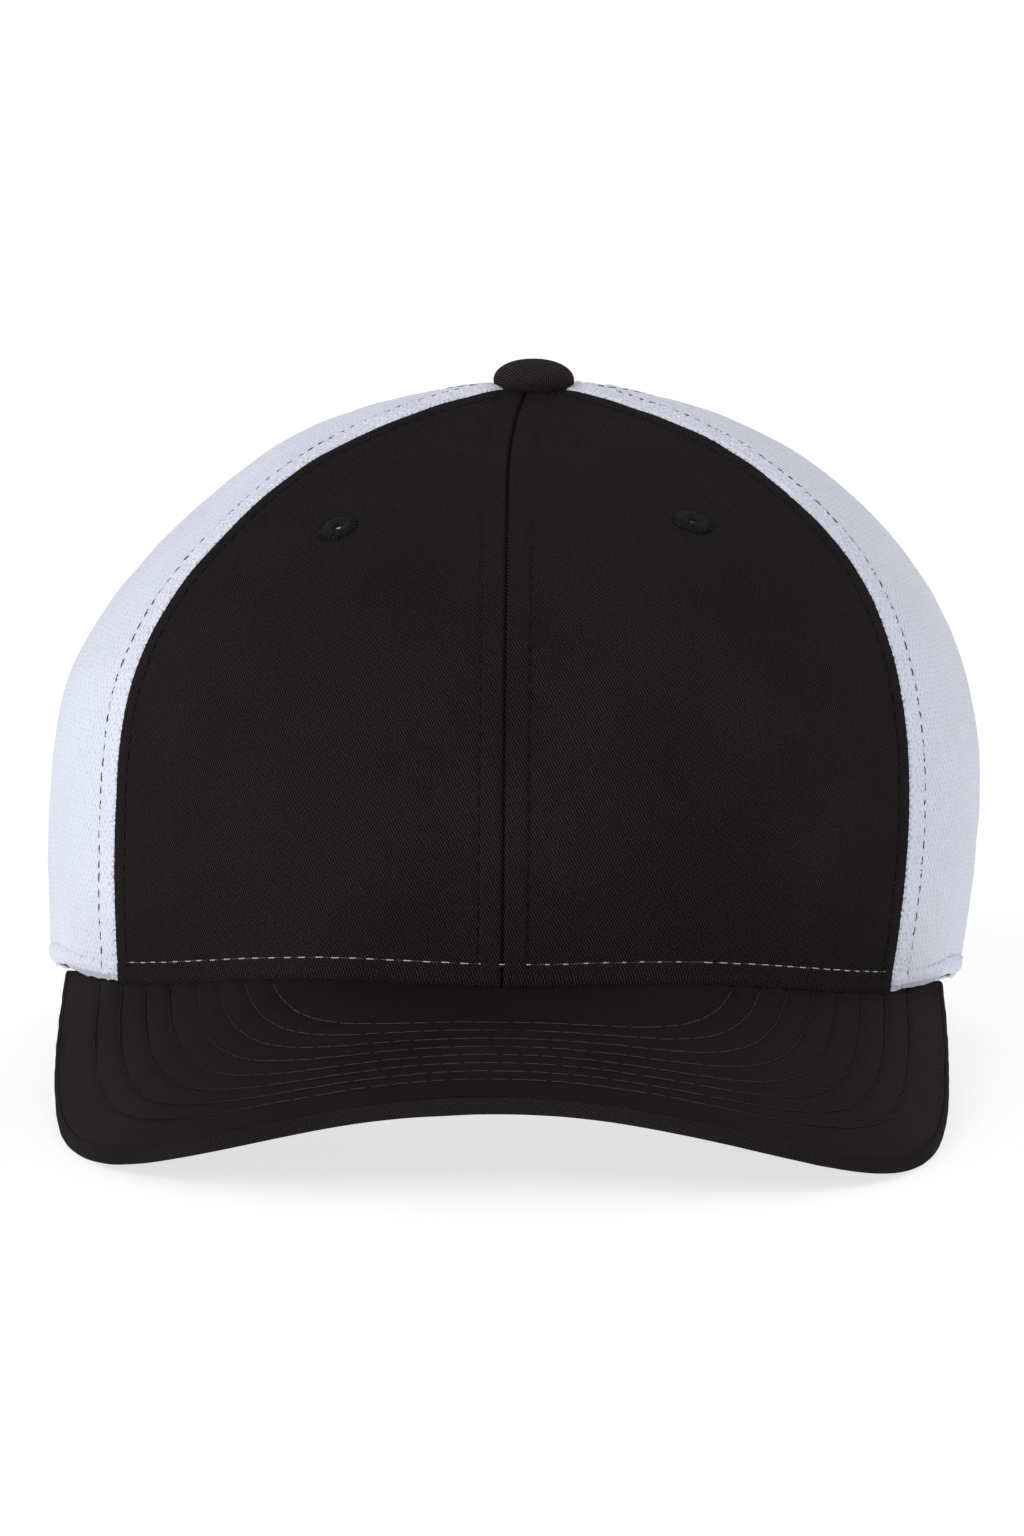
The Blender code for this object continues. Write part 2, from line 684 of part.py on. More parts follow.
def make_closure():
    """Two straps that snap together. Each turns about the line where it is sewn to the crown."""
    pitch = SNAP_PITCH / STRAP_RADIUS
    free_end = -((SNAPS_ENGAGED - 1) / 2 * pitch + SNAP_END / STRAP_RADIUS)
    root = HINGE_ANGLE - HINGE_CLEARANCE / STRAP_RADIUS
    tab = HINGE_ANGLE + HINGE_CLEARANCE / STRAP_RADIUS
    middle = STRAP_BOTTOM + STRAP_HEIGHT / 2
    inner_radius = STRAP_RADIUS - STRAP_THICKNESS - STRAP_GAP
    for name, side, radius in (("outer", 1, STRAP_RADIUS), ("inner", -1, inner_radius)):
        hinge = strap_point(side * HINGE_ANGLE, middle, radius - STRAP_THICKNESS / 2)
        strap = strap_sheet(f"{name}_snap_strap", side, root, free_end, radius, True, hinge)
        if name == "outer":
            tool = snap_studs("hole_cutters", side, radius, HOLE_RADIUS, HOLE_CUT, hinge)
            combine(strap, tool, "DIFFERENCE")
        else:
            buried = STRAP_THICKNESS / 2
            reach = PEG_HEIGHT + buried
            place = radius - buried + reach / 2
            tool = snap_studs("peg_bodies", side, place, PEG_RADIUS, reach, hinge)
            combine(strap, tool, "UNION")
        tab_end = tab + TAB_LENGTH / STRAP_RADIUS
        strap_sheet(f"{name}_strap_tab", side, tab, tab_end, radius, False, Vector())


# Stance


def level_points():
    """Every part's points in the level frame, in metres."""
    bpy.context.view_layer.update()
    graph = bpy.context.evaluated_depsgraph_get()
    found = []
    for obj in PARTS.objects:
        seen = obj.evaluated_get(graph)
        mesh = seen.to_mesh()
        points = np.empty(len(mesh.vertices) * 3)
        mesh.vertices.foreach_get("co", points)
        world = np.array(obj.matrix_world)
        found.append(points.reshape(-1, 3) @ world[:3, :3].T + world[:3, 3])
        seen.to_mesh_clear()
    return np.concatenate(found)


def stand_on_ground():
    """Leans the cap back until the visor's corners and the rear edge are at the same height."""
    points = level_points()
    front, rear = points[points[:, 1] < 0], points[points[:, 1] > 0]

    def height(part, lean):
        return (part[:, 2] * math.cos(lean) - part[:, 1] * math.sin(lean)).min()

    low, high = 0.0, math.radians(20)
    for _ in range(40):
        lean = (low + high) / 2
        if height(front, lean) < height(rear, lean):
            low = lean
        else:
            high = lean
    depth = points[:, 1] * math.cos(lean) + points[:, 2] * math.sin(lean)
    STANCE.rotation_euler = (-lean, 0, 0)
    STANCE.location = (0, -(depth.min() + depth.max()) / 2, -height(points, lean))
    bpy.context.view_layer.update()


def build():
    make_panels()
    make_seam_tapes()
    make_sweatband()
    make_label()
    make_eyelets()
    make_button()
    make_visor()
    make_arch_binding()
    make_closure()
    stand_on_ground()


clear_scene()
PARTS = new_collection("trucker_mesh_cap")
CUTTERS = new_collection("cutters")
STANCE = bpy.data.objects.new("cap_stance", None)
bpy.context.scene.collection.objects.link(STANCE)
build()
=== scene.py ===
"""The trucker mesh cap's looks: knit, twill, thread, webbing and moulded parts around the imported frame.

Shapes are in millimetres in the cap's level frame (opening at z = 0, front towards -Y, +X the wearer's
left), and the record's head_opening mount places them. On the crown an azimuth is 0 at the front and
grows towards the left, and a share runs from 0 at the bottom edge to 1 at the apex.
"""

import json
import math

import bmesh
import bpy
import numpy as np
from mathutils import Matrix, Vector


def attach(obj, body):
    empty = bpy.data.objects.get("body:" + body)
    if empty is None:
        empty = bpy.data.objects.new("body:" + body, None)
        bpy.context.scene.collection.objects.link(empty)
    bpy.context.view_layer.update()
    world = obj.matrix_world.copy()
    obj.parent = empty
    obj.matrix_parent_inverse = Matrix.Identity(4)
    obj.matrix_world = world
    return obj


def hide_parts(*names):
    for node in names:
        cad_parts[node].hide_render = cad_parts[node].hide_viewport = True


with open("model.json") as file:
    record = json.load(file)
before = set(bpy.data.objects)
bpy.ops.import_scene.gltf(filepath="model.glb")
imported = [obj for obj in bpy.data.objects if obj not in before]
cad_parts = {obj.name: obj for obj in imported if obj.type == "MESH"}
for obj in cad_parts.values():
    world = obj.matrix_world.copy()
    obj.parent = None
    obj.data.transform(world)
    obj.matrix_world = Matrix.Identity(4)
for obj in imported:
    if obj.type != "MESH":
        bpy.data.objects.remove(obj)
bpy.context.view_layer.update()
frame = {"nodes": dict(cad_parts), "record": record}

MM = 0.001
SIDES = {"left": 1, "right": -1}

# The crown, the visor and the closure, as the CAD draws them

APEX, WIDEST = 118.3, 34.7
HALF_WIDTH, FRONT_REACH, REAR_REACH = 91.3, 107.5, 104.0
SIDE_TUCK, FRONT_TUCK, REAR_TUCK = 2.5, 2.5, 1.5
FOOT_SIDE, FOOT_FRONT = HALF_WIDTH - SIDE_TUCK, FRONT_REACH - FRONT_TUCK
DOME_POWERS, FRONT_POWERS, REAR_POWERS = (2.15, 0.488), (2.85, 1.0), (2.2, 0.55)
TOP_HOLE = 3.2
LEAN = 0.042
FRONT_SIDE_SEAM = (math.radians(52.1), math.radians(56.5))
SIDE_REAR_SEAM = (math.radians(117), math.radians(119))
REAR_SEAM = (math.pi, math.pi)
PANEL_THICKNESS = 0.8
SWEATBAND_DEPTH, SWEATBAND_HEIGHT, SWEATBAND_END = 3.4, 32.0, math.radians(144)
VISOR_LENGTH, VISOR_REAR, VISOR_HALF_WIDTH, VISOR_SQUARENESS = 70.0, 31.0, 85.5, 4.2
VISOR_REACH = FOOT_FRONT + VISOR_LENGTH - VISOR_REAR
VISOR_ROOT_HEIGHT, VISOR_SLOPE, VISOR_ARCH_RADIUS = 4.1, 0.246, 154.0
VISOR_END, VISOR_ROOT_INSET, VISOR_SEAM, VISOR_THICKNESS = math.radians(69.5), 1.8, 0.5, 3.2
FLANK_RAISE, FLANK_SPREAD, FLANK_FADE = 3.7, 34.0, 1.5
FLANK_AZIMUTH, LEVEL_AZIMUTH = math.radians(73), math.radians(115)
BUTTON_RADIUS, BUTTON_TOP, BUTTON_TILT = 7.95, 122.9, math.radians(4)
EYELET_PLACES = {1: (31.3, 91.8), -1: (36.5, 89.8)}  # across and up, by side
ARCH_HALF_WIDTH, ARCH_HEIGHT, ARCH_POWER = 42.0, 48.0, 2.5
STRAP_RADIUS, STRAP_THICKNESS, STRAP_GAP = 77.2, 1.2, 0.4
STRAP_BOTTOM, STRAP_HEIGHT, STRAP_OUTER_DEPTH = 1.5, 19.0, 2.4
HINGE_ANGLE, HINGE_CLEARANCE, TAB_LENGTH = math.radians(31.2), 0.8, 11.0
SNAP_PITCH, SNAP_COUNT, SNAPS_ENGAGED, HOLE_RADIUS, PEG_HEIGHT = 10.0, 6, 4, 2.75, 1.7


def cap_matrix():
    mount = next(m for m in frame["record"]["mounts"] if m["name"] == "head_opening")
    up, across = -Vector(mount["axis"]), Vector((1, 0, 0))
    turn = Matrix((across, up.cross(across).normalized(), up)).transposed().to_4x4()
    return Matrix.Translation(mount["pos_m"]) @ turn


CAP = cap_matrix()
CAP_ARRAY = np.array(CAP)


def to_world(points):
    return (np.asarray(points) * MM) @ CAP_ARRAY[:3, :3].T + CAP_ARRAY[:3, 3]


def step(x, low, high):
    t = np.clip((x - low) / (high - low), 0, 1)
    return t * t * (3 - 2 * t)


def bell(x, middle, width):
    return np.exp(-(((x - middle) / width) ** 2))


def lerp(a, b, t):
    return a + (b - a) * t


def unit(v):
    return v / np.maximum(np.linalg.norm(v, axis=-1, keepdims=True), 1e-9)


def path_run(points):
    return np.concatenate([[0], np.cumsum(np.linalg.norm(np.diff(points, axis=0), axis=1))])


def wobble(points, size, seed, terms=14):
    """A smooth field of waves about size long, from about -1 to 1."""
    draw = np.random.RandomState(seed)
    total = np.zeros(points.shape[:-1])
    for _ in range(terms):
        direction = draw.normal(size=points.shape[-1])
        direction *= 2 * math.pi / (size * draw.uniform(0.75, 1.5)) / np.linalg.norm(direction)
        total += np.cos(points @ direction + draw.uniform(0, 2 * math.pi))
    return total / math.sqrt(terms)


def ragged(x, pitch, seed):
    """An uneven wave along one length, from 0 to 1, with crests about pitch apart."""
    draw = np.random.RandomState(seed)
    knots = np.arange(-4, 400)
    places = (knots + draw.uniform(-0.3, 0.3, len(knots))) * pitch / 2
    heights = np.where(knots % 2 == 0, draw.uniform(0.55, 1, len(knots)), draw.uniform(0, 0.35, len(knots)))
    return np.interp(x, places, heights)


# Crown surface


def profile(z, reach, tuck, powers):
    up = np.clip((z - WIDEST) / (APEX - WIDEST), 0, 1)
    down = np.clip((WIDEST - z) / WIDEST, 0, None)
    return np.maximum(reach * (1 - up ** powers[0]) ** powers[1] - tuck * down**2, 1e-6)


def side_profile(z):
    return profile(z, HALF_WIDTH, SIDE_TUCK, DOME_POWERS)


def rear_profile(z):
    return profile(z, REAR_REACH, REAR_TUCK, REAR_POWERS)


def section_radius(azimuth, z):
    front = profile(z, FRONT_REACH, FRONT_TUCK, FRONT_POWERS)
    depth = np.where(np.cos(azimuth) > 0, front, rear_profile(z))
    return 1 / np.hypot(np.sin(azimuth) / side_profile(z), np.cos(azimuth) / depth)


def visor_height(x, y):
    outside = np.hypot(x / FOOT_SIDE, y / FOOT_FRONT)
    flank = FLANK_RAISE * (1 - bell(x, 0, FLANK_SPREAD)) * (1 - step(outside, 1, FLANK_FADE))
    return VISOR_ROOT_HEIGHT - VISOR_SLOPE * (-y - FOOT_FRONT) - x * x / (2 * VISOR_ARCH_RADIUS) + flank


def bottom_edge(azimuth):
    """The crown's edge follows the visor's root at the front and is level at the back."""
    over = min(abs(azimuth), FLANK_AZIMUTH)
    radius = section_radius(over, 0.0)
    height = visor_height(radius * np.sin(over), -radius * np.cos(over)) + VISOR_SEAM
    return height * (1 - step(abs(azimuth), FLANK_AZIMUTH, LEVEL_AZIMUTH))


AZIMUTHS, SHARES = 2881, 801


def crown_tables():
    """Height, radius and length of the meridian, by azimuth and by share of its length."""
    shares = np.linspace(0, 1, SHARES)
    heights, radii = np.empty((AZIMUTHS, SHARES)), np.empty((AZIMUTHS, SHARES))
    lengths = np.empty((AZIMUTHS, 1))
    high = WIDEST + (APEX - WIDEST) * np.sin(np.linspace(0, math.pi / 2, 300))
    for index, azimuth in enumerate(np.linspace(-math.pi, math.pi, AZIMUTHS)):
        low = np.linspace(float(bottom_edge(azimuth)), WIDEST, 24, endpoint=False)
        z = np.concatenate([low, high])
        r = section_radius(azimuth, z)
        r[-1] = 0
        run = path_run(np.stack([r, z], -1))
        heights[index] = np.interp(shares, run / run[-1], z)
        radii[index] = np.interp(shares, run / run[-1], r)
        lengths[index] = run[-1]
    return heights, radii, lengths


HEIGHTS, RADII, LENGTHS = crown_tables()


def lookup(table, azimuth, share):
    a = np.mod(azimuth + math.pi, 2 * math.pi) / (2 * math.pi) * (AZIMUTHS - 1)
    i = np.clip(a.astype(int), 0, AZIMUTHS - 2)
    p = a - i
    if table.shape[1] == 1:
        return table[i, 0] * (1 - p) + table[i + 1, 0] * p
    b = np.clip(share, 0, 1) * (SHARES - 1)
    j = np.clip(b.astype(int), 0, SHARES - 2)
    q = b - j
    near = table[i, j] * (1 - p) + table[i + 1, j] * p
    far = table[i, j + 1] * (1 - p) + table[i + 1, j + 1] * p
    return near * (1 - q) + far * q


def surface(azimuth, share):
    azimuth, share = np.broadcast_arrays(np.asarray(azimuth, float), np.asarray(share, float))
    r, z = lookup(RADII, azimuth, share), lookup(HEIGHTS, azimuth, share)
    return np.stack([r * np.sin(azimuth) + LEAN * z, -r * np.cos(azimuth), z], -1)


def on_crown(azimuth, share):
    """The plain crown's point and normal."""
    around = surface(azimuth + 0.01, share) - surface(azimuth - 0.01, share)
    along = surface(azimuth, np.minimum(share + 0.004, 1)) - surface(azimuth, np.maximum(share - 0.004, 0))
    return surface(azimuth, share), unit(np.cross(around, along))


def meridian_length(azimuth):
    return lookup(LENGTHS, np.asarray(azimuth, float), None)


def centre_seam(share):
    """The front centre seam stands upright while the crown leans, and turns to the button at its top."""
    share = np.asarray(share, float)
    middle = np.zeros_like(share)
    z, r = lookup(HEIGHTS, middle, share), lookup(RADII, middle, share)
    drift = -0.046 * z + 3.1 * np.clip((z - 95) / 21, 0, 1) ** 3
    return np.arcsin(np.clip(drift / np.maximum(r, 4), -0.75, 0.75))


def straight_seam(seam, side=1):
    """A seam that runs straight on the crown; the left one beside the twill is drawn in a little."""
    drawn_in = math.radians(1.25) if seam is FRONT_SIDE_SEAM and side > 0 else 0.0

    def at(share):
        share = np.asarray(share, float)
        return side * lerp(*seam, share) - drawn_in * bell(share, 0.36, 0.17)

    return at


def eyelet_place(side):
    across, up = EYELET_PLACES[side]
    reach, width = profile(up, FRONT_REACH, 0, FRONT_POWERS), profile(up, HALF_WIDTH, 0, DOME_POWERS)
    azimuth = math.atan2(side * across, reach * math.sqrt(1 - (across / width) ** 2))
    shares = np.linspace(0, 1, SHARES)
    return on_crown(azimuth, np.interp(up, lookup(HEIGHTS, np.full(SHARES, azimuth), shares), shares))


EYELETS = {name: eyelet_place(side) for name, side in SIDES.items()}


def arch_reach(x, z):
    """1 on the rear arch's edge, less inside it."""
    ratio = np.abs(x / ARCH_HALF_WIDTH) ** ARCH_POWER
    above = np.where(z > 0, (np.maximum(z, 0) / ARCH_HEIGHT) ** ARCH_POWER, 0)
    return (ratio + above) ** (1 / ARCH_POWER)


def rear_point(x, z, depth=0.0):
    y = (rear_profile(z) - depth) * np.sqrt(np.clip(1 - (x / (side_profile(z) - depth)) ** 2, 0, 1))
    return np.stack([x + LEAN * z, y, z], -1)


# Meshes. A look is a material and the record's slot that it shows.


def faces_mesh(name, points, quads, uv, look, body="crown", replaced=(), sharp=50):
    """A piece from points in millimetres, quads and a UV in metres for each point or each corner."""
    quads = np.asarray(quads)
    mesh = bpy.data.meshes.new(name)
    mesh.vertices.add(len(points))
    mesh.vertices.foreach_set("co", to_world(points).astype(np.float32).ravel())
    mesh.loops.add(quads.size)
    mesh.loops.foreach_set("vertex_index", quads.astype(np.int32).ravel())
    mesh.polygons.add(len(quads))
    mesh.polygons.foreach_set("loop_start", np.arange(0, quads.size, 4, dtype=np.int32))
    mesh.update(calc_edges=True)
    layer = mesh.uv_layers.new(name="cloth")
    corners = uv[quads.ravel()] if uv.ndim == 2 else uv.reshape(-1, 2)
    layer.data.foreach_set("uv", (corners * MM).astype(np.float32).ravel())
    bm = bmesh.new()
    bm.from_mesh(mesh)
    bmesh.ops.delete(bm, geom=[v for v in bm.verts if not v.link_faces], context="VERTS")
    bmesh.ops.recalc_face_normals(bm, faces=bm.faces)
    bm.to_mesh(mesh)
    bm.free()
    mesh.shade_smooth()
    mesh.set_sharp_from_angle(angle=math.radians(sharp))
    mesh.materials.append(look[0])
    obj = bpy.data.objects.new(name, mesh)
    bpy.context.scene.collection.objects.link(obj)
    if replaced:
        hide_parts(*replaced)
    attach(obj, body)
    return obj


def grid_quads(index):
    return np.stack([index[:-1, :-1], index[:-1, 1:], index[1:, 1:], index[1:, :-1]], -1).reshape(-1, 4)


def cell_mean(values):
    return (values[:-1, :-1] + values[1:, 1:] + values[:-1, 1:] + values[1:, :-1]) / 4


def touching(cells):
    """The grid's points that touch a marked cell."""
    found = np.zeros(np.add(cells.shape, 1), bool)
    for rows in (slice(0, -1), slice(1, None)):
        for columns in (slice(0, -1), slice(1, None)):
            found[rows, columns] |= cells
    return found


def shell(name, outer, inner, uv, look, hole=None, **more):
    """A closed sheet between two grids of points. hole marks the cells that are cut through it."""
    rows, cols = outer.shape[:2]
    total = rows * cols
    kept = grid_quads(np.arange(total).reshape(rows, cols))
    if hole is not None:
        kept = kept[~hole.ravel()]
    edges = np.stack([kept, np.roll(kept, -1, 1)], -1).reshape(-1, 2)
    a, b = edges[~np.isin(edges[:, 0] * total + edges[:, 1], edges[:, 1] * total + edges[:, 0])].T
    walls = np.stack([b, a, a + total, b + total], -1)
    quads = np.concatenate([kept, kept[:, ::-1] + total, walls])
    points = np.concatenate([outer.reshape(-1, 3), inner.reshape(-1, 3)])
    uv = uv.reshape(-1, 2)
    return faces_mesh(name, points, quads, np.concatenate([uv, uv]), look, **more)


THREAD_PLACES = np.array([0.0, 0.07, 0.2, 0.5, 0.8, 0.93, 1.0])
THREAD_SWELL = np.array([0.55, 0.85, 1.0, 1.0, 1.0, 0.85, 0.55])
THREAD_RISE = np.array([0, 0.3, 0.75, 1, 0.75, 0.3, 0])
THREAD_SIDES = 6


def thread_quads():
    """One thread's faces: its rings, then two quads on each end."""
    sides, end = THREAD_SIDES, (len(THREAD_PLACES) - 1) * THREAD_SIDES
    quads = []
    for ring in range(0, end, sides):
        for k in range(sides):
            a, b = ring + k, ring + (k + 1) % sides
            quads.append((a, a + sides, b + sides, b))
    ends = [(0, 1, 2, 3), (0, 3, 4, 5), (end + 3, end + 2, end + 1, end), (end + 5, end + 4, end + 3, end)]
    return np.array(quads + ends)


def threads(name, parts, radius, look, dive, bow, **more):
    """Short threads that dive into the cloth at both ends. A part is (places, ups, run), one row for each."""
    all_points, all_uv = [], []
    lift = (THREAD_RISE * (bow + dive) - dive) * radius * 2
    turns = np.arange(THREAD_SIDES) * 2 * math.pi / THREAD_SIDES
    size = (radius * THREAD_SWELL)[None, :, None, None]
    for place, up, run in parts:
        side = unit(np.cross(unit(np.gradient(place, axis=1)), up))
        ring = side[:, :, None] * np.cos(turns)[:, None] + up[:, :, None] * np.sin(turns)[:, None] * 0.85
        grid = place[:, :, None] + up[:, :, None] * lift[None, :, None, None] + ring * size
        all_points.append(grid.reshape(-1, 3))
        u, v = np.broadcast_arrays(run[:, :, None], turns * radius)
        all_uv.append(np.stack([u, v], -1).reshape(-1, 2))
    points, uv = np.concatenate(all_points), np.concatenate(all_uv)
    first = np.arange(0, len(points), len(THREAD_PLACES) * THREAD_SIDES)
    quads = (first[:, None, None] + thread_quads()).reshape(-1, 4)
    return faces_mesh(name, points, quads, uv, look, sharp=80, **more)


def stitches(name, rows, radius, look, dive=0.45, bow=0.6, seed=1, **more):
    """Thread laid as stitches. A row is (points, normals, pitch, length of the part that shows)."""
    draw = np.random.RandomState(seed)
    parts = []
    for points, normals, pitch, dash in rows:
        run = path_run(points)
        count = int((run[-1] - dash) / pitch) + 1
        if count < 1:
            continue
        starts = (run[-1] - (count - 1) * pitch - dash) / 2 + np.arange(count) * pitch
        starts = starts + draw.uniform(-0.06, 0.06, count) * pitch
        lengths = dash * draw.uniform(0.85, 1.08, count)
        t = np.clip(starts[:, None] + lengths[:, None] * THREAD_PLACES, 0, run[-1])
        place, up = (np.stack([np.interp(t, run, v[:, k]) for k in range(3)], -1) for v in (points, normals))
        up = unit(up)
        side = unit(np.cross(unit(np.gradient(place, axis=1)), up))
        place = place + side * (draw.uniform(-0.4, 0.4, (count, 1)) * radius)[..., None]
        place = place + up * (draw.uniform(-0.35, 0.25, (count, 1)) * radius)[..., None]
        parts.append((place, up, t))
    return threads(name, parts, radius, look, dive, bow, **more)


def turned(name, points, steps, look, place, wave=None, **more):
    """A closed profile of (radius, height) points turned round Z, then placed."""
    points = np.array(points, float)
    turns = np.arange(steps) * 2 * math.pi / steps
    r, z = points[:, :1], points[:, 1:]
    if wave is not None:
        r, z = wave(r + 0 * turns, z + 0 * turns, turns[None, :])
    grid = np.stack([r * np.cos(turns), r * np.sin(turns), z + 0 * turns], -1)
    run = path_run(points)[:, None]
    uv = np.stack([run * np.cos(turns), run * np.sin(turns)], -1)
    index = np.arange(len(points) * steps).reshape(len(points), steps)
    index = np.concatenate([index, index[:, :1]], 1)
    matrix = np.array(place)
    flat = grid.reshape(-1, 3) @ matrix[:3, :3].T + matrix[:3, 3]
    return faces_mesh(name, flat, grid_quads(index), uv.reshape(-1, 2), look, sharp=60, **more)


def ring(radius, height, half_width, half_height, count):
    turns = np.linspace(0, 2 * math.pi, count)
    return [(radius + half_width * math.cos(t), height + half_height * math.sin(t)) for t in turns]


# Materials


class Nodes:
    """A tree of nodes, made by name with inputs that are numbers, colours or other outputs."""

    def __init__(self, owner, shader):
        owner.use_nodes = True
        self.nodes, self.links = owner.node_tree.nodes, owner.node_tree.links
        self.shader = self.nodes[shader]

    def put(self, socket, value, node=None):
        target = (node or self.shader).inputs[socket]
        if isinstance(value, bpy.types.NodeSocket):
            self.links.new(value, target)
        else:
            target.default_value = value

    def add(self, kind, inputs, output=0, **settings):
        node = self.nodes.new(kind)
        for key, value in settings.items():
            setattr(node, key, value)
        for key, value in inputs.items():
            self.put(key, value, node)
        return node.outputs[output]

    def maths(self, operation, *values):
        return self.add("ShaderNodeMath", dict(enumerate(values)), operation=operation)

    def axes(self, vector):
        node = self.nodes.new("ShaderNodeSeparateXYZ")
        self.put(0, vector, node)
        return node.outputs

    def range(self, value, low, high, to_low=0, to_high=1):
        inputs = {0: value, 1: low, 2: high, 3: to_low, 4: to_high}
        return self.add("ShaderNodeMapRange", inputs, clamp=True)


class Tree(Nodes):
    """A material's nodes."""

    def __init__(self, name, colour, roughness, metallic=0.0, sheen=0.0, sheen_tint=(1, 1, 1), specular=0.5):
        self.material = bpy.data.materials.new(name)
        self.material.diffuse_color = (*colour, 1)
        super().__init__(self.material, "Principled BSDF")
        values = {"Base Color": (*colour, 1), "Roughness": roughness, "Metallic": metallic}
        values["Specular IOR Level"] = specular
        if sheen:
            values |= {"Sheen Weight": sheen, "Sheen Roughness": 0.5, "Sheen Tint": (*sheen_tint, 1)}
        for socket, value in values.items():
            self.put(socket, value)

    def over(self, detail, amount, base):
        return self.maths("MULTIPLY_ADD", detail, amount, base)

    def wave(self, value, period=1):
        return self.maths("COSINE", self.maths("MULTIPLY", value, 2 * math.pi / period))

    def ridges(self, value, period):
        return self.maths("ABSOLUTE", self.maths("SINE", self.maths("MULTIPLY", value, math.pi / period)))

    def millimetres(self, turn=0.0, stretch=(1, 1, 1)):
        """The cloth's UV in millimetres, turned by an angle."""
        uv = self.add("ShaderNodeUVMap", {}, uv_map="cloth")
        inputs = {"Vector": uv, "Rotation": (0, 0, turn), "Scale": scaled(stretch, 1000)}
        return self.add("ShaderNodeMapping", inputs)

    def space(self):
        """The object's own coordinates, which are world coordinates at rest."""
        return self.add("ShaderNodeTexCoord", {}, 3)

    def stretched(self, scale):
        return self.add("ShaderNodeMapping", {"Vector": self.space(), "Scale": scale})

    def noise(self, scale, detail=2.0, rough=0.5, vector=None, output=0):
        inputs = {"Scale": scale, "Detail": detail, "Roughness": rough}
        inputs["Vector"] = vector if vector is not None else self.space()
        return self.add("ShaderNodeTexNoise", inputs, output)

    def spread(self, noise, to_low, to_high):
        """The part of a noise's range that it mostly fills, stretched from one value to another."""
        return self.range(noise, 0.3, 0.7, to_low, to_high)

    def aside(self, near, far, value):
        """1 near the cap's middle plane, changing to a value far from it on both sides."""
        return self.range(self.maths("ABSOLUTE", self.axes(self.space())[0]), near, far, 1, value)

    def blend(self, factor, one, other, mode="MIX"):
        one, other = ((*v, 1) if isinstance(v, tuple) else v for v in (one, other))
        inputs = {0: factor, 6: one, 7: other}
        return self.add("ShaderNodeMix", inputs, 2, data_type="RGBA", blend_type=mode)

    def ramp(self, value, low, high, colour, dark, light):
        return self.blend(self.range(value, low, high), scaled(colour, dark), scaled(colour, light))

    def dim(self, colour, *greys):
        for grey in greys:
            tint = self.add("ShaderNodeCombineColor", {0: grey, 1: grey, 2: grey})
            colour = self.blend(1.0, colour, tint, "MULTIPLY")
        return colour

    def finish(self, colour, roughness, height, depth):
        self.put("Base Color", colour)
        self.put("Roughness", roughness)
        self.put("Normal", self.add("ShaderNodeBump", {"Height": height, "Distance": depth, "Strength": 1.0}))
        return self.material


def scaled(colour, factor):
    return tuple(c * factor for c in colour)


def twill(name, colour, pitch=0.508, direction=63, depth=0.00013, contrast=1.25, painted_flank_light=None):
    """Diagonal ribs with a beaded yarn, fibres and a slightly uneven dye, with painted light that makes the
    visor's flanks paler.
    """
    t = Tree(name, colour, 0.9, specular=0.02)
    turn = math.radians(direction)
    grain = t.millimetres(turn)
    along, across, _ = t.axes(grain)
    sway = t.spread(t.noise(0.6, 2, vector=grain), -0.1, 0.1)
    across = t.maths("DIVIDE", t.maths("ADD", across, sway), pitch)
    shift = t.maths("MULTIPLY", t.maths("FLOOR", t.maths("ADD", across, 0.5)), 0.37)
    along = t.maths("ADD", t.maths("DIVIDE", along, 0.6), shift)
    fibre = t.noise(4.5, 3, 0.6, vector=t.millimetres(turn, (0.35, 1.5, 1)))
    height = t.over(t.range(fibre, 0.25, 0.75), 1.3, t.over(t.wave(along), 0.4, t.wave(across)))
    shade = t.ramp(height, -0.65, 2.0, colour, max(1 - 0.72 * contrast, 0.06), 1 + 0.95 * contrast)
    cloud, worn = t.spread(t.noise(30, 3, 0.6), 0.9, 1.1), t.range(t.noise(7, 4, 0.7), 0.35, 0.7, 0.95, 1.08)
    shade = t.dim(shade, t.maths("MULTIPLY", cloud, worn))
    # Painted light: away from the cap's middle plane the colour is made paler, for the visor's lit flanks.
    if painted_flank_light:
        shade = t.dim(shade, t.aside(0.02, 0.08, painted_flank_light))
    return t.finish(shade, t.spread(fibre, 0.84, 0.97), height, depth)


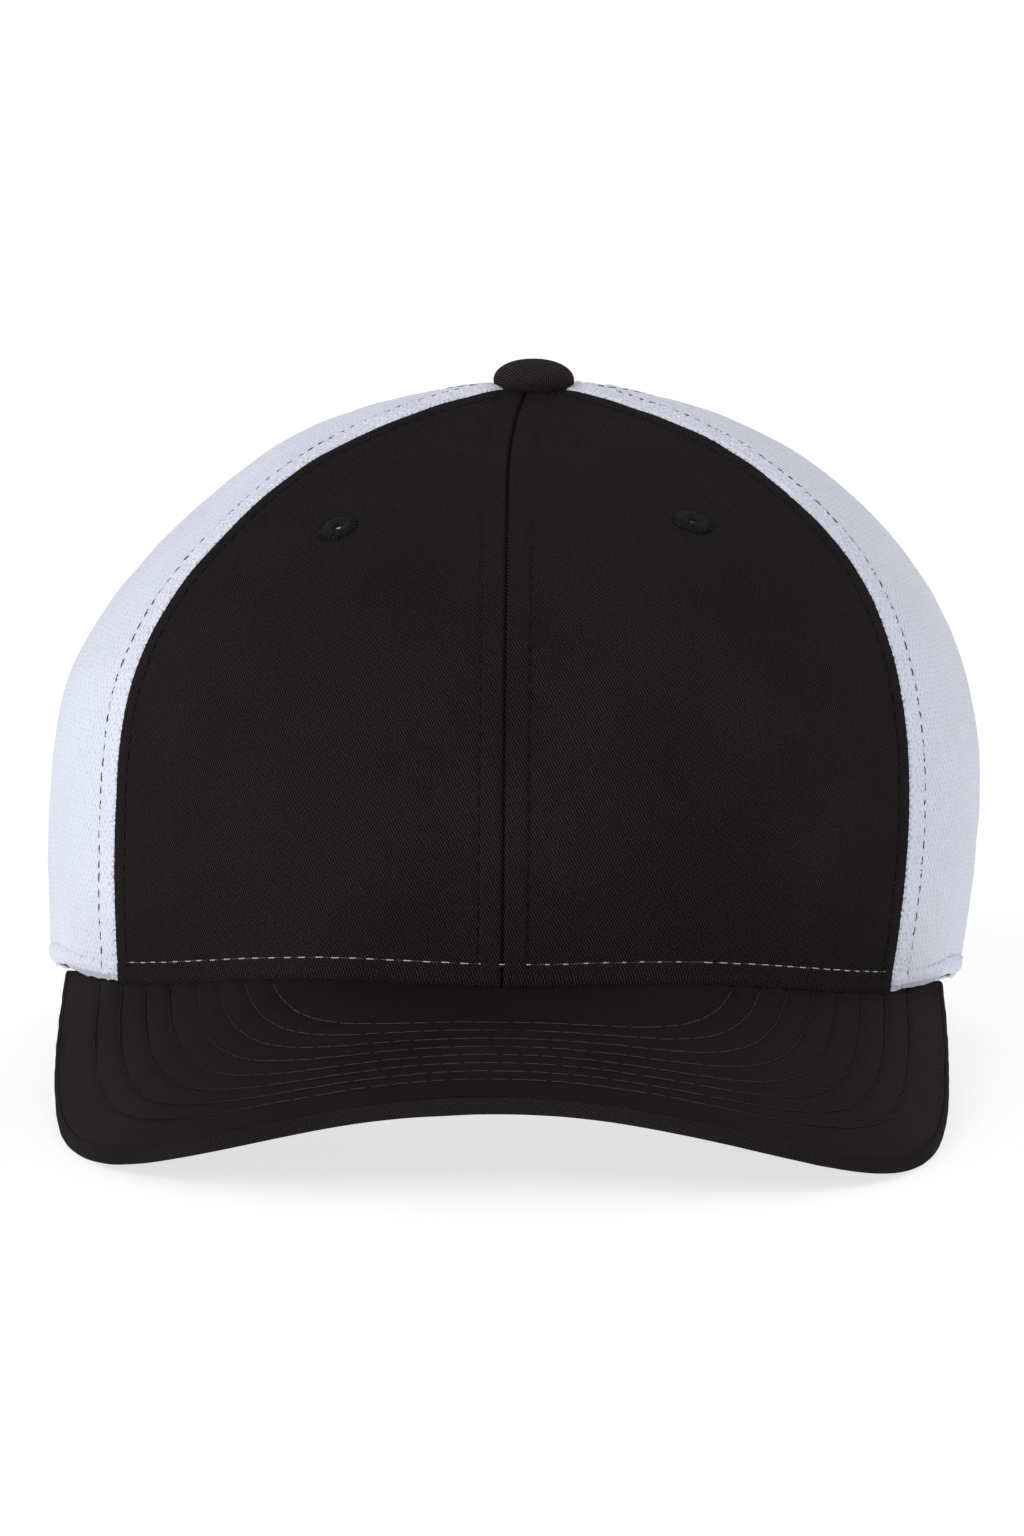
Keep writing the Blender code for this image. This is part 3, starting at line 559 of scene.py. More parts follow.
def knit(name, colour, pitch=1.8, depth=0.0002):
    """Dense knitted mesh: small pits in diagonal rows between slanted loops of yarn."""
    t = Tree(name, colour, 0.78, sheen=0.1, sheen_tint=(0.9, 0.93, 1.0), specular=0.2)
    flat = t.millimetres()
    sway = t.noise(0.35, 2, vector=flat, output=1)
    sway = t.add("ShaderNodeVectorMath", {0: sway, 1: (0.5, 0.5, 0.5)}, operation="SUBTRACT")
    sway = t.add("ShaderNodeVectorMath", {0: sway, 3: 0.55}, operation="SCALE")
    x, y, _ = t.axes(t.add("ShaderNodeVectorMath", {0: flat, 1: sway}, operation="ADD"))
    pits = t.range(t.maths("MULTIPLY", t.wave(x, pitch), t.wave(y, pitch * 1.1)), 0, 1)
    pits = t.maths("MULTIPLY", pits, t.range(t.noise(0.5, 2, vector=flat), 0.3, 0.65, 0.45, 1))
    yarn = t.noise(2.6, 2, vector=t.millimetres(math.radians(35), (0.45, 1.4, 1)))
    fine = t.noise(6.0, 2, vector=t.millimetres(math.radians(-30), (0.6, 1.3, 1)))
    # Painted shade: the colour is made darker and bluer in the knit's pits.
    painted_pit_shade = tuple(c * f for c, f in zip(colour, (0.7, 0.72, 0.76)))
    shade = t.blend(t.range(pits, 0, 1, 0, 0.65), scaled(colour, 1.05), painted_pit_shade)
    shade = t.dim(shade, t.spread(yarn, 0.93, 1.06), t.spread(t.noise(45, 3, 0.65), 0.965, 1.03))
    height = t.over(fine, 0.3, t.maths("SUBTRACT", t.maths("MULTIPLY", yarn, 0.55), pits))
    return t.finish(shade, t.spread(fine, 0.66, 0.82), height, depth)


def tape_weave(name, colour):
    """Woven tape: fine ribs across it, with a yarn's unevenness along each rib."""
    t = Tree(name, colour, 0.8, sheen=0.1, specular=0.35)
    flat = t.millimetres()
    x, y, _ = t.axes(flat)
    yarn = t.noise(3.0, 2, vector=flat)
    height = t.over(yarn, 0.5, t.over(t.ridges(x, 0.42), 0.4, t.ridges(y, 0.55)))
    return t.finish(t.ramp(height, 0.4, 1.5, colour, 0.62, 1.18), t.spread(yarn, 0.74, 0.9), height, 0.00012)


def thread(name, colour, sheen=0.3, painted_highlight_half_width=None):
    """Two-ply sewing thread: a slanted twist along each stitch; given a half width, it is painted darker towards
    the visor's sides, leaving a painted highlight in its middle.
    """
    t = Tree(name, colour, 0.7, sheen=sheen, specular=0.08)
    twist = t.ridges(t.axes(t.millimetres(math.radians(38)))[0], 0.32)
    shade = t.ramp(twist, 0, 1, colour, 0.55, 1.25)
    # Painted highlight: the thread keeps its light colour only near the visor's middle and is painted darker
    # towards its sides.
    if painted_highlight_half_width:
        shade = t.dim(shade, t.aside(painted_highlight_half_width * 0.8, painted_highlight_half_width * 1.35, 0.2))
    return t.finish(shade, t.spread(t.noise(900, 1), 0.62, 0.85), twist, 0.00008)


def open_weave(name, colour):
    """Buckram: a square open weave stiffened with size."""
    t = Tree(name, colour, 0.85, specular=0.3)
    x, y, _ = t.axes(t.millimetres(math.radians(1.5)))
    uneven = t.noise(300, 3)
    height = t.maths("MAXIMUM", *(t.range(t.ridges(axis, 0.95), 0.25, 0.95) for axis in (x, y)))
    height = t.over(uneven, 0.3, height)
    return t.finish(t.ramp(height, 0.3, 1.1, colour, 0.5, 1.08), t.spread(uneven, 0.75, 0.95), height, 0.0002)


def plastic(name, colour, roughness):
    """Moulded plastic: fine grain, faint flow and rubbed patches."""
    t = Tree(name, colour, roughness)
    fine, flow = t.noise(900, 3, 0.6), t.noise(60, 3, 0.6)
    height = t.over(t.noise(120, 2, 0.6, t.stretched((6, 6, 0.4))), 0.6, fine)
    rubbed = t.spread(flow, roughness - 0.07, roughness + 0.12)
    return t.finish(t.ramp(flow, 0.35, 0.7, colour, 0.85, 1.35), rubbed, height, 0.00003)


def stamped_metal(name, colour):
    """Bare stamped metal: turning marks, dull spots and small dents."""
    t = Tree(name, colour, 0.38, metallic=1.0)
    marks, spots = t.noise(260, 3, 0.7, t.stretched((1, 9, 1))), t.noise(420, 4, 0.7)
    shade = t.ramp(spots, 0.45, 0.72, colour, 1, 0.55)
    return t.finish(shade, t.spread(marks, 0.26, 0.55), t.over(spots, 0.4, marks), 0.00004)


def satin_weave(name, colour):
    t = Tree(name, colour, 0.5, sheen=0.2)
    uneven = t.noise(2.0, 2, vector=t.millimetres(0, (2.4, 0.3, 1)))
    height = t.over(uneven, 0.6, t.ridges(t.axes(t.millimetres())[0], 0.3))
    return t.finish(t.ramp(height, 0.2, 1.3, colour, 0.82, 1.08), t.spread(uneven, 0.42, 0.6), height, 0.00006)


BLACK = (0.0195, 0.0158, 0.0164)
TWILL = twill("black_twill", BLACK), "black_twill"
# The visor's twill is a darker copy of the black twill, painted shade on its top and underside, with painted light
# on its flanks.
VISOR = twill("visor_twill", scaled(BLACK, 0.7), depth=0.00007, contrast=0.45, painted_flank_light=1.65), "black_twill"
# The rim band's twill is a finer weave in a lighter copy of the black, painted light on the visor's rim.
BAND = twill("band_twill", scaled(BLACK, 1.15), 0.44, contrast=0.8), "black_twill"
BUTTON = twill("button_twill", scaled(BLACK, 1.7)), "black_twill"
KNIT = knit("white_mesh", (0.69, 0.705, 0.8)), "white_mesh"
YARN = knit("mesh_yarn", (0.74, 0.755, 0.84), 0.9, 0.00004), "white_mesh"
BLACK_TAPE = tape_weave("black_tape", (0.014, 0.012, 0.012)), "black_tape"
WHITE_TAPE = tape_weave("white_tape", (0.72, 0.73, 0.79)), "white_tape"
BUCKRAM = open_weave("buckram", (0.62, 0.61, 0.57)), "buckram"
BLACK_THREAD = thread("black_thread", (0.0085, 0.0075, 0.008), 0.0), "black_thread"
EYELET_THREAD = thread("eyelet_thread", (0.015, 0.0155, 0.017), 0.0), "black_thread"
# The visor's black thread is given a lighter grey colour as a painted highlight.
VISOR_THREAD = thread("visor_thread", (0.056, 0.053, 0.056), 0.0, 0.045), "black_thread"
DASH_THREAD = thread("side_thread", (0.045, 0.045, 0.055)), "black_thread"
PALE_THREAD = thread("pale_thread", (0.52, 0.5, 0.5)), "white_tape"
BOBBIN_THREAD = thread("bobbin_thread", (0.1, 0.095, 0.095)), "white_tape"
WHITE_THREAD = thread("white_thread", (0.74, 0.76, 0.84)), "white_tape"
LABEL_THREAD = WHITE_THREAD[0], "label"
BOARD = plastic("visor_board", (0.08, 0.08, 0.085), 0.5), "visor_board"
SWEATBAND = twill("sweatband", (0.022, 0.02, 0.02), 0.4, 45, 0.00009, 0.7), "sweatband"
PLASTIC = plastic("snap_plastic", (0.016, 0.016, 0.017), 0.38), "snap_plastic"
METAL = stamped_metal("button_metal", (0.55, 0.55, 0.56)), "button_metal"
LABEL = satin_weave("label", (0.8, 0.8, 0.79)), "label"


# Crown panels


def laid_out(first, last, v, near, far, middle, top=TOP_HOLE, low=0.0):
    """A panel's grid: azimuth, share, and distances from the first and last seam, the edge and the apex.

    near and far are distances from the seams that keep their own columns all the way up."""
    v = v[:, None]

    def spread(t):
        share = v + 0 * t
        for _ in range(2):
            azimuth = first(share) * (1 - t) + last(share) * t
            length = meridian_length(azimuth)
            share = lerp(low / length, 1 - top / length, v)
        return azimuth, share, length

    t = np.linspace(0, 1, len(near) + len(far) + middle)[None, :]
    inner = np.linspace(0, 1, middle + 2)[None, 1:-1]
    for _ in range(2):
        azimuth, share, _ = spread(t)
        gaps = np.linalg.norm(np.diff(surface(azimuth, share), axis=1), axis=-1)
        run = np.concatenate([np.zeros((len(v), 1)), np.cumsum(gaps, 1)], 1)
        width = run[:, -1:]
        squeeze = np.minimum(1, 0.42 * width / max(near[-1], far[-1]))
        between = lerp(squeeze * near[-1], width - squeeze * far[-1], inner)
        places = np.concatenate([squeeze * near, between, width - squeeze * far[::-1]], 1)
        t = np.stack([np.interp(p, r, q) for p, r, q in zip(places, run, np.broadcast_to(t, run.shape))])
    azimuth, share, length = spread(t)
    return azimuth, share, places, width - places, share * length, (1 - share) * length


def row_places(low_rows, pitch, length=168.0):
    """Row heights as shares, with a few close rows at the bottom edge."""
    low_rows = np.array(low_rows) / length
    return np.concatenate([low_rows, np.linspace(low_rows[-1], 1, int(length / pitch))[1:]])


SEAM_COLUMNS = np.array([0, 0.2, 0.42, 0.7, 1.05, 1.5, 2.1, 2.8, 3.5, 4.05, 4.45, 4.75, 5.15, 5.7, 6.2, 6.7, 7.4])
LOW_ROWS = [0, 0.2, 0.45, 0.8, 1.3, 1.9, 2.5, 3.1, 3.5, 3.8, 4.2, 4.8, 5.6]
CENTRE_STITCH, SIDE_STITCH, MESH_STITCH, HEM_STITCH = 4.7, 4.4, 6.1, 3.7

# Stitch gauges: the pitch, and how much of each stitch shows
TWILL_GAUGE, MESH_GAUGE, MESH_HEM_GAUGE, BOBBIN_GAUGE = (3.1, 2.4), (2.8, 1.9), (3.4, 2.0), (3.0, 2.9)
VISOR_GAUGE, INSIDE_GAUGE, LABEL_GAUGE = (3.7, 3.4), (3.0, 2.3), (2.2, 1.5)
ARCH_GAUGE, TAB_GAUGE = (3.0, 2.2), (2.6, 2.0)


def apex_dip(to_top):
    return -1.5 * bell(to_top, 0, 6.0)


def crown_sway(base):
    """The cloth's slight unevenness, the same for every layer and thread that lies on the crown."""
    over_arch = arch_reach(base[..., 0] - LEAN * base[..., 2], base[..., 2])
    free = np.where(base[..., 1] > 0, step(over_arch, 1.02, 1.3), 1.0)
    soft = step(base[..., 1], -75, -10)
    waves = lerp(0.1, 0.24, soft) * wobble(base, 42, 24) + lerp(0.025, 0.07, soft) * wobble(base, 10, 25)
    flank = step(-base[..., 0], 35, 60) * bell(base[..., 1], -5, 60)
    slack = 1.2 * bell(base[..., 2], 58, 13) - 1.5 * bell(base[..., 2], 93, 17)
    return free * (waves + flank * slack)


def front_height(d_centre, d_side, low, to_top, base):
    """How far the twill stands out from the plain crown: seams, stitch lines, hem and slight waves."""
    pucker = 1 + 0.4 * np.cos(low * 2 * math.pi / 3.1)
    h = -0.95 * bell(d_centre, 0, 0.37) + 0.26 * (1 - step(d_centre, 3.9, 5.2))
    h += -0.17 * bell(d_centre, CENTRE_STITCH, 0.42) * pucker
    h += -1.2 * bell(d_side, 0, 0.45) + 0.2 * (1 - step(d_side, 3.6, 4.9))
    h += -0.14 * bell(d_side, SIDE_STITCH, 0.4) * pucker
    h += -1.2 * bell(low, 0, 0.5) - 0.14 * bell(low, HEM_STITCH, 0.5) + 0.12 * (1 - step(low, 3.2, 4.6))
    return h + crown_sway(base) + apex_dip(to_top)


def front_panel(side_name, side, flank):
    """One twill panel, with a round hole for its eyelet."""
    seams, rows = (centre_seam, flank)[::side], row_places(LOW_ROWS, 1.15)
    azimuth, share, *distances, low, to_top = laid_out(*seams, rows, SEAM_COLUMNS, SEAM_COLUMNS, 52)
    d_centre, d_side = distances[::side]
    base, normal = on_crown(azimuth, share)
    height = front_height(d_centre, d_side, low, to_top, base)
    eye, eye_normal = EYELETS[side_name]
    away = np.linalg.norm(base - eye, axis=-1)
    height += -0.3 * bell(away, 3.4, 1.1) + 0.1 * bell(away, 5.2, 0.9)
    outer = base + normal * height[..., None]
    outer[..., 2] -= 1.5 * (1 - step(low, 0, 2.2))
    hole = cell_mean(away) < 2.6
    rim = touching(hole) & (away > 1.2)
    sunk_eye = eye - eye_normal * 0.35
    pulled = sunk_eye + (outer - sunk_eye) * (2.5 / np.maximum(away, 0.1))[..., None]
    outer = np.where(rim[..., None], pulled, outer)
    uv = np.stack([side * d_centre, low], -1)
    replaced = [f"front_panel_{side_name}"]
    shell(f"front_twill_{side_name}", outer, outer - normal * PANEL_THICKNESS, uv, TWILL, hole, replaced=replaced)


def mesh_height(d_seam, low, base, seam_stitch, seed):
    """The folded allowance beside a seam stands proud, lumpy and quilted by its stitches."""
    pucker = 1 + 0.45 * np.cos(low * 2 * math.pi / 2.8)
    strip = 1 - step(d_seam, seam_stitch - 0.6, seam_stitch + 0.5)
    h = 0.34 * strip - 0.6 * bell(d_seam, 0, 0.32)
    h += strip * (0.13 * wobble(base, 2.4, seed) + 0.09 * wobble(base, 1.25, seed + 1))
    return h - 0.34 * bell(d_seam, seam_stitch, 0.42) * pucker


def mesh_panel(place, side_name, edges, seed, has_arch):
    """One knit panel. Its two edges, wearer's left first, are (seam, stitch distance, how jagged it is)."""
    first, last = edges
    grid = laid_out(first[0], last[0], row_places(LOW_ROWS, 0.72), SEAM_COLUMNS, SEAM_COLUMNS, 66)
    azimuth, share, d_first, d_last, low, to_top = grid
    teeth = step(low, 2, 6)
    for jag, distance, sign, offset in ((first[2], d_first, -1, 0), (last[2], d_last, 1, 50)):
        if jag:
            teeth_at = ragged(low, 2.3, seed + offset) + 0.5 * ragged(low, 0.9, seed + offset + 1)
            reach = jag * teeth_at * teeth * (1 - step(distance, 0, 1.2))
            azimuth = azimuth + sign * reach / np.maximum(lookup(RADII, azimuth, share), 6)
    base, normal = on_crown(azimuth, share)
    height = mesh_height(d_first, low, base, first[1], seed) + mesh_height(d_last, low, base, last[1], seed + 7)
    if not has_arch:
        pleat = wobble(np.stack([azimuth * 90, 0 * low], -1), 6.5, seed + 3)
        height += -0.9 * bell(low, 0, 0.9) + 0.3 * (1 - step(low, 3, 4.4)) - 0.22 * bell(low, HEM_STITCH, 0.5)
        height += 0.2 * pleat * (1 - step(low, 2, 13))
        base[..., 2] += 0.25 * pleat * (1 - step(low, 0, 6))
    height += crown_sway(base) + apex_dip(to_top)
    outer, hole = base + normal * height[..., None], None
    if has_arch:
        outer, hole = cut_arch(outer)
    uv = np.stack([0.5 * (d_first - d_last), low], -1)
    inner, replaced = outer - normal * PANEL_THICKNESS, [f"{place}_mesh_panel_{side_name}"]
    shell(f"{place}_mesh_{side_name}", outer, inner, uv, KNIT, hole, replaced=replaced)


ARCH_CUT_BACK = 1.014  # the mesh ends inside the binding's fold, clear of the outer strap's swing


def cut_arch(outer):
    """Cells inside the rear arch are cut away, and the points round the cut are drawn onto its edge."""
    x, z = outer[..., 0] - LEAN * outer[..., 2], outer[..., 2]
    reach = arch_reach(x, z) / ARCH_CUT_BACK
    hole = cell_mean(reach) < 1.0
    rim = touching(hole) & touching(~hole)
    return np.where(rim[..., None], rear_point(x / reach, np.where(z > 0, z / reach, z)), outer), hole


def crown_line(azimuth, share, lift):
    """Points and normals along a line that lies on the crown and its unevenness."""
    base, normal = on_crown(azimuth, share)
    return base + normal * (lift + crown_sway(base))[:, None], normal


def within(line):
    """The same line with its normals turned to the inside of the crown."""
    return line[0], -line[1]


def seam_line(seam, offset, low, high, lift, squeeze_width, count=420):
    """A line beside a seam at a fixed distance from it, from low above the edge to high below the apex."""
    share = np.linspace(0, 1, count)
    length = meridian_length(seam(share))
    share = lerp(low / length, 1 - high / length, share)
    azimuth = seam(share)
    radius = np.maximum(lookup(RADII, azimuth, share), 1)
    shift = np.sign(offset) * np.minimum(abs(offset), squeeze_width * radius)
    slant = surface(azimuth + shift / radius, share) - surface(azimuth, share)
    true = np.maximum(np.linalg.norm(slant, axis=-1), 1e-6)
    shift = shift * np.clip(np.abs(shift) / true, 0.6, 1.4)
    return crown_line(azimuth + shift / radius, share, lift + apex_dip((1 - share) * length))


def twill_row(seam, offset, high, squeeze_width):
    return *seam_line(seam, offset, 1.2, high, 0.02, squeeze_width), *TWILL_GAUGE


def mesh_row(seam, offset, low=1.0):
    return *seam_line(seam, offset, low, 9.0, 0.1, 0.4), *MESH_GAUGE


def make_crown():
    both = (CENTRE_STITCH, -CENTRE_STITCH)
    back = straight_seam(REAR_SEAM)
    twill_rows, mesh_rows = [twill_row(centre_seam, offset, 7.5, 0.5) for offset in both], []
    for side_name, side in SIDES.items():
        flank, rear = straight_seam(FRONT_SIDE_SEAM, side), straight_seam(SIDE_REAR_SEAM, side)
        front_panel(side_name, side, flank)
        edges = ((flank, MESH_STITCH, 0.3), (rear, CENTRE_STITCH, 0.0))[::side]
        mesh_panel("side", side_name, edges, 20 + side, False)
        edges = ((rear, CENTRE_STITCH, 0.0), (straight_seam(REAR_SEAM, side), CENTRE_STITCH, 0.0))[::side]
        mesh_panel("rear", side_name, edges, 40 + side, True)
        twill_rows.append(twill_row(flank, -side * SIDE_STITCH, 8.5, 0.4))
        mesh_rows.append(mesh_row(flank, side * MESH_STITCH))
        mesh_rows += [mesh_row(rear, side * offset) for offset in both]
    mesh_rows += [mesh_row(back, offset, ARCH_HEIGHT + 8.5) for offset in both]
    stitches("front_topstitch", twill_rows, 0.13, BLACK_THREAD, 0.35, 0.15, seed=2)
    stitches("mesh_topstitch", mesh_rows, 0.16, DASH_THREAD, 0.3, 0.12, seed=3)


FOLD_PITCH, FOLD_GAP = 1.12, 0.92


def make_fold_yarn():
    """The loops of yarn that stand up along the mesh's fold beside the twill."""
    parts = []
    draw = np.random.RandomState(17)
    for side in SIDES.values():
        seam = straight_seam(FRONT_SIDE_SEAM, side)
        places = np.meshgrid(np.arange(1.5, 162, FOLD_PITCH), np.arange(-0.4, MESH_STITCH - 0.8, FOLD_GAP))
        height, across = (place.ravel() for place in places)
        odd = np.round(across / FOLD_GAP).astype(int) % 2
        height = height + 0.56 * odd + draw.uniform(-0.26, 0.26, len(height))
        across = across + draw.uniform(-0.24, 0.24, len(height))
        share = np.zeros(len(height))
        for _ in range(3):
            share = height / meridian_length(seam(share))
        across, share = across[share < 0.95], share[share < 0.95]
        count = len(share)
        azimuth = seam(share)
        radius = lookup(RADII, azimuth, share)
        azimuth = azimuth + side * np.minimum(across, 0.4 * radius) / radius
        base, normal = on_crown(azimuth, share)
        east = unit(surface(azimuth + 0.01, share) - surface(azimuth - 0.01, share))
        slant = np.radians(np.where(np.arange(count) % 2, 38, -38) + draw.uniform(-22, 22, count))
        ahead = east * np.cos(slant)[:, None] + np.cross(normal, east) * np.sin(slant)[:, None]
        long = draw.uniform(0.75, 1.3, count)
        lift = 0.1 + crown_sway(base) + apex_dip((1 - share) * meridian_length(azimuth))
        lift = lift - 0.25 * bell(across, -0.2, 0.3) + draw.uniform(-0.12, 0.1, count)
        t = (THREAD_PLACES - 0.5)[None, :] * long[:, None]
        bend = draw.uniform(-0.25, 0.25, count)[:, None] * (1 - (2 * THREAD_PLACES - 1) ** 2)
        place = (base + normal * lift[:, None])[:, None] + ahead[:, None] * t[..., None]
        place = place + np.cross(normal, ahead)[:, None] * bend[..., None]
        ups = np.broadcast_to(normal[:, None], place.shape)
        parts.append((place, ups, t + 5 * np.arange(count)[:, None] % 7))
    threads("mesh_fold_yarn", parts, 0.33, YARN, 0.35, 0.1)


def level_line(start, end, height, lift, count=500):
    """A line round the crown at one distance above its bottom edge."""
    azimuth = np.linspace(start, end, count)
    return crown_line(azimuth, height / meridian_length(azimuth), lift)


def make_hem_stitches():
    edge = FRONT_SIDE_SEAM[0] - 0.012
    stretches = ((-edge, 0.01, 3.6, 1.75), (0.022, 0.34, 3.7, 1.05), (0.36, edge, 3.3, 1.9))
    rows = [(*level_line(start, end, HEM_STITCH, 0.0), pitch, dash) for start, end, pitch, dash in stretches]
    stitches("front_hem_stitch", rows, 0.115, PALE_THREAD, 0.5, 0.3, seed=4)
    edge = FRONT_SIDE_SEAM[0] - 0.03
    rows = [(*level_line(-edge, edge, HEM_STITCH, -0.06), *BOBBIN_GAUGE)]
    stitches("front_hem_bobbin", rows, 0.06, BOBBIN_THREAD, 0.2, 0.1, seed=8)
    ends = FRONT_SIDE_SEAM[0] + 0.02, SWEATBAND_END - 0.02
    lines = [level_line(*sorted(side * end for end in ends), HEM_STITCH, 0.06) for side in (1, -1)]
    rows = [(*line, *MESH_HEM_GAUGE) for line in lines]
    stitches("mesh_hem_stitch", rows, 0.15, WHITE_THREAD, seed=5)


# Eyelets and button

EYELET_STITCHES, EYELET_RING, EYELET_SPREAD = 44, 2.25, 1.6


def make_eyelets():
    """A whipped ring: a cord round each hole under close radial stitches."""
    for side_name, (centre, normal) in EYELETS.items():
        east = unit(np.cross(np.array([0, 0, 1.0]), normal))
        north = np.cross(normal, east)
        draw = np.random.RandomState(60 + (SIDES[side_name] > 0))
        rows = []
        for k in range(EYELET_STITCHES):
            turn = 2 * math.pi * (k + draw.uniform(-0.18, 0.18)) / EYELET_STITCHES
            outward = east * math.cos(turn) + north * math.sin(turn)
            radii = np.linspace(0.75, 4.0 + draw.uniform(-0.45, 0.35), 14)
            slope = (radii - EYELET_RING) / EYELET_SPREAD
            arch = 0.55 * np.sqrt(np.clip(1 - slope**2, 0, 1)) - 0.1
            points = centre + outward * radii[:, None] + normal * arch[:, None]
            ups = unit(normal + outward * np.clip(slope, -0.9, 0.9)[:, None])
            rows.append((points, ups, 10.0, float(path_run(points)[-1]) * 0.98))
        name, replaced = f"eyelet_stitches_{side_name}", [f"eyelet_{side_name}"]
        stitches(name, rows, 0.17, EYELET_THREAD, 0.6, seed=70, replaced=replaced)
        place = np.eye(4)
        place[:3, :] = np.stack([east, north, normal, centre], 1)
        turned(f"eyelet_cord_{side_name}", ring(EYELET_RING, -0.2, 1.3, 0.5, 13), 48, EYELET_THREAD, place)


def make_button():
    """Twill drawn over a metal cup, gathered under its rim."""
    equator, half_low = 118.75, 3.7
    points = [(0.001, BUTTON_TOP)]
    for t in np.radians(np.linspace(6, 90, 15)):
        points.append((BUTTON_RADIUS * math.sin(t) ** 0.92, equator + (BUTTON_TOP - equator) * math.cos(t)))
    for t in np.radians(np.linspace(8, 72, 9)):
        points.append((BUTTON_RADIUS * math.cos(t) ** 0.62, equator - half_low * math.sin(t)))
    points += [(3.4, equator - 3.2), (3.0, equator - 2.2), (0.001, equator - 2.0)]

    def gather(r, z, turns):
        draw = np.random.RandomState(9)
        folds = (draw.uniform(0.4, 1) * np.cos(n * turns + draw.uniform(0, 6)) for n in (11, 14, 17, 23))
        under = sum(folds) / 2.4 * step(equator + 0.8 - z, 0, 3.0) * (r > 3.6)
        return r + 0.16 * under, z + 0.05 * under

    apex = Matrix.Translation((0, 0, APEX))
    tilt = apex @ Matrix.Rotation(BUTTON_TILT, 4, "X") @ apex.inverted()
    place = Matrix.Translation((LEAN * APEX - 0.7, 0, 0)) @ tilt
    turned("button_fabric", points, 96, BUTTON, place, gather, replaced=["button_cover"])


# Visor


def visor_curve(half_width, reach, count):
    """A squared half oval from the wearer's right, round the front, to the left."""
    angles = np.linspace(-math.pi / 2, math.pi / 2, count)
    power = 2 / VISOR_SQUARENESS
    x = half_width * np.sign(angles) * np.abs(np.sin(angles)) ** power
    return x, -VISOR_REAR - reach * np.abs(np.cos(angles)) ** power


EDGE = np.stack(visor_curve(VISOR_HALF_WIDTH, VISOR_REACH, 2881), -1)
EDGE_LENGTH = path_run(EDGE)[-1]
EDGE_SHARE = path_run(EDGE) / EDGE_LENGTH


def visor_edge_point(across, inset):
    def at(t):
        return np.stack([np.interp(t, EDGE_SHARE, EDGE[:, 0]), np.interp(t, EDGE_SHARE, EDGE[:, 1])], -1)

    along = unit(at(np.minimum(across + 0.002, 1)) - at(np.maximum(across - 0.002, 0)))
    return at(across) + np.stack([-along[..., 1], along[..., 0]], -1) * inset


def visor_root_point(across):
    azimuth = VISOR_END * (2 * across - 1)
    x, y = (FOOT_SIDE - VISOR_ROOT_INSET) * np.sin(azimuth), -(FOOT_FRONT - VISOR_ROOT_INSET) * np.cos(azimuth)
    return np.stack([x, y], -1)


def visor_normal(x):
    return unit(np.stack([x / VISOR_ARCH_RADIUS, np.full_like(x, -VISOR_SLOPE), np.ones_like(x)], -1))


ROWS = 8


def row_size(k):
    """Half the width and the reach of a stitch row, the first one being nearest the edge."""
    return VISOR_HALF_WIDTH - 7.5 - 4.65 * k, VISOR_REACH - 12.0 - 5.07 * k


def row_family(x, y):
    """Which stitch row a point of the visor lies on, as a number that is whole on each row."""
    low, high = np.full(x.shape, -4.0), np.full(x.shape, 16.0)
    for _ in range(26):
        k = (low + high) / 2
        wide, deep = row_size(k)
        ahead = (np.maximum(-y - VISOR_REAR, 0) / deep) ** VISOR_SQUARENESS
        inside = (np.abs(x) / wide) ** VISOR_SQUARENESS + ahead < 1
        low, high = np.where(inside, k, low), np.where(inside, high, k)
    return (low + high) / 2


def row_line(k, drop, sign):
    x, y = visor_curve(*row_size(k), 1600)
    clear = (x / (FOOT_SIDE + 0.6)) ** 2 + (y / (FOOT_FRONT + 0.6)) ** 2 > 1
    clear &= y < -VISOR_REAR - 1.5
    x, y = x[clear], y[clear]
    return np.stack([x, y, visor_height(x, y) - drop], -1), visor_normal(x) * sign


# How far each line of the rim is in from the visor's edge and below its top
VISOR_RIM = [(0.62, 0.04), (0.38, 0.16), (0.2, 0.36), (0.07, 0.65), (0.0, 1.1), (0.0, 1.6), (0.02, 2.2),
             (0.1, 2.65), (0.3, 2.98), (0.6, 3.15)]
VISOR_COLUMNS, VISOR_ROWS, VISOR_FLAT_INSET = 250, 104, 0.9


def visor_skin(across, drop, side):
    """The visor's top or underside, quilted by the stitch rows, and its UV."""
    out = np.linspace(0, 1, VISOR_ROWS)[:, None, None] ** 0.97
    root, edge = visor_root_point(across), visor_edge_point(across, VISOR_FLAT_INSET)
    plan = root * (1 - out) + edge * out
    x, y = plan[..., 0], plan[..., 1]
    k = row_family(x, y)
    h = -0.2 * bell((k - np.clip(np.round(k), 0, ROWS - 1)) * 4.9, 0, 0.62)
    h -= 0.05 * np.cos(np.clip(k, 0, ROWS - 1) * 2 * math.pi) * (k > 0) * (k < ROWS - 1)
    h -= 0.12 * bell(np.linalg.norm(plan - edge, axis=-1), 1.6, 0.8)
    base = np.stack([x, y, visor_height(x, y)], -1)
    h += 0.08 * wobble(base, 30, 90) + 0.03 * wobble(base, 8, 91)
    return base + visor_normal(x) * (side * h)[..., None] - np.array([0, 0, drop]), np.stack([x, -y], -1)


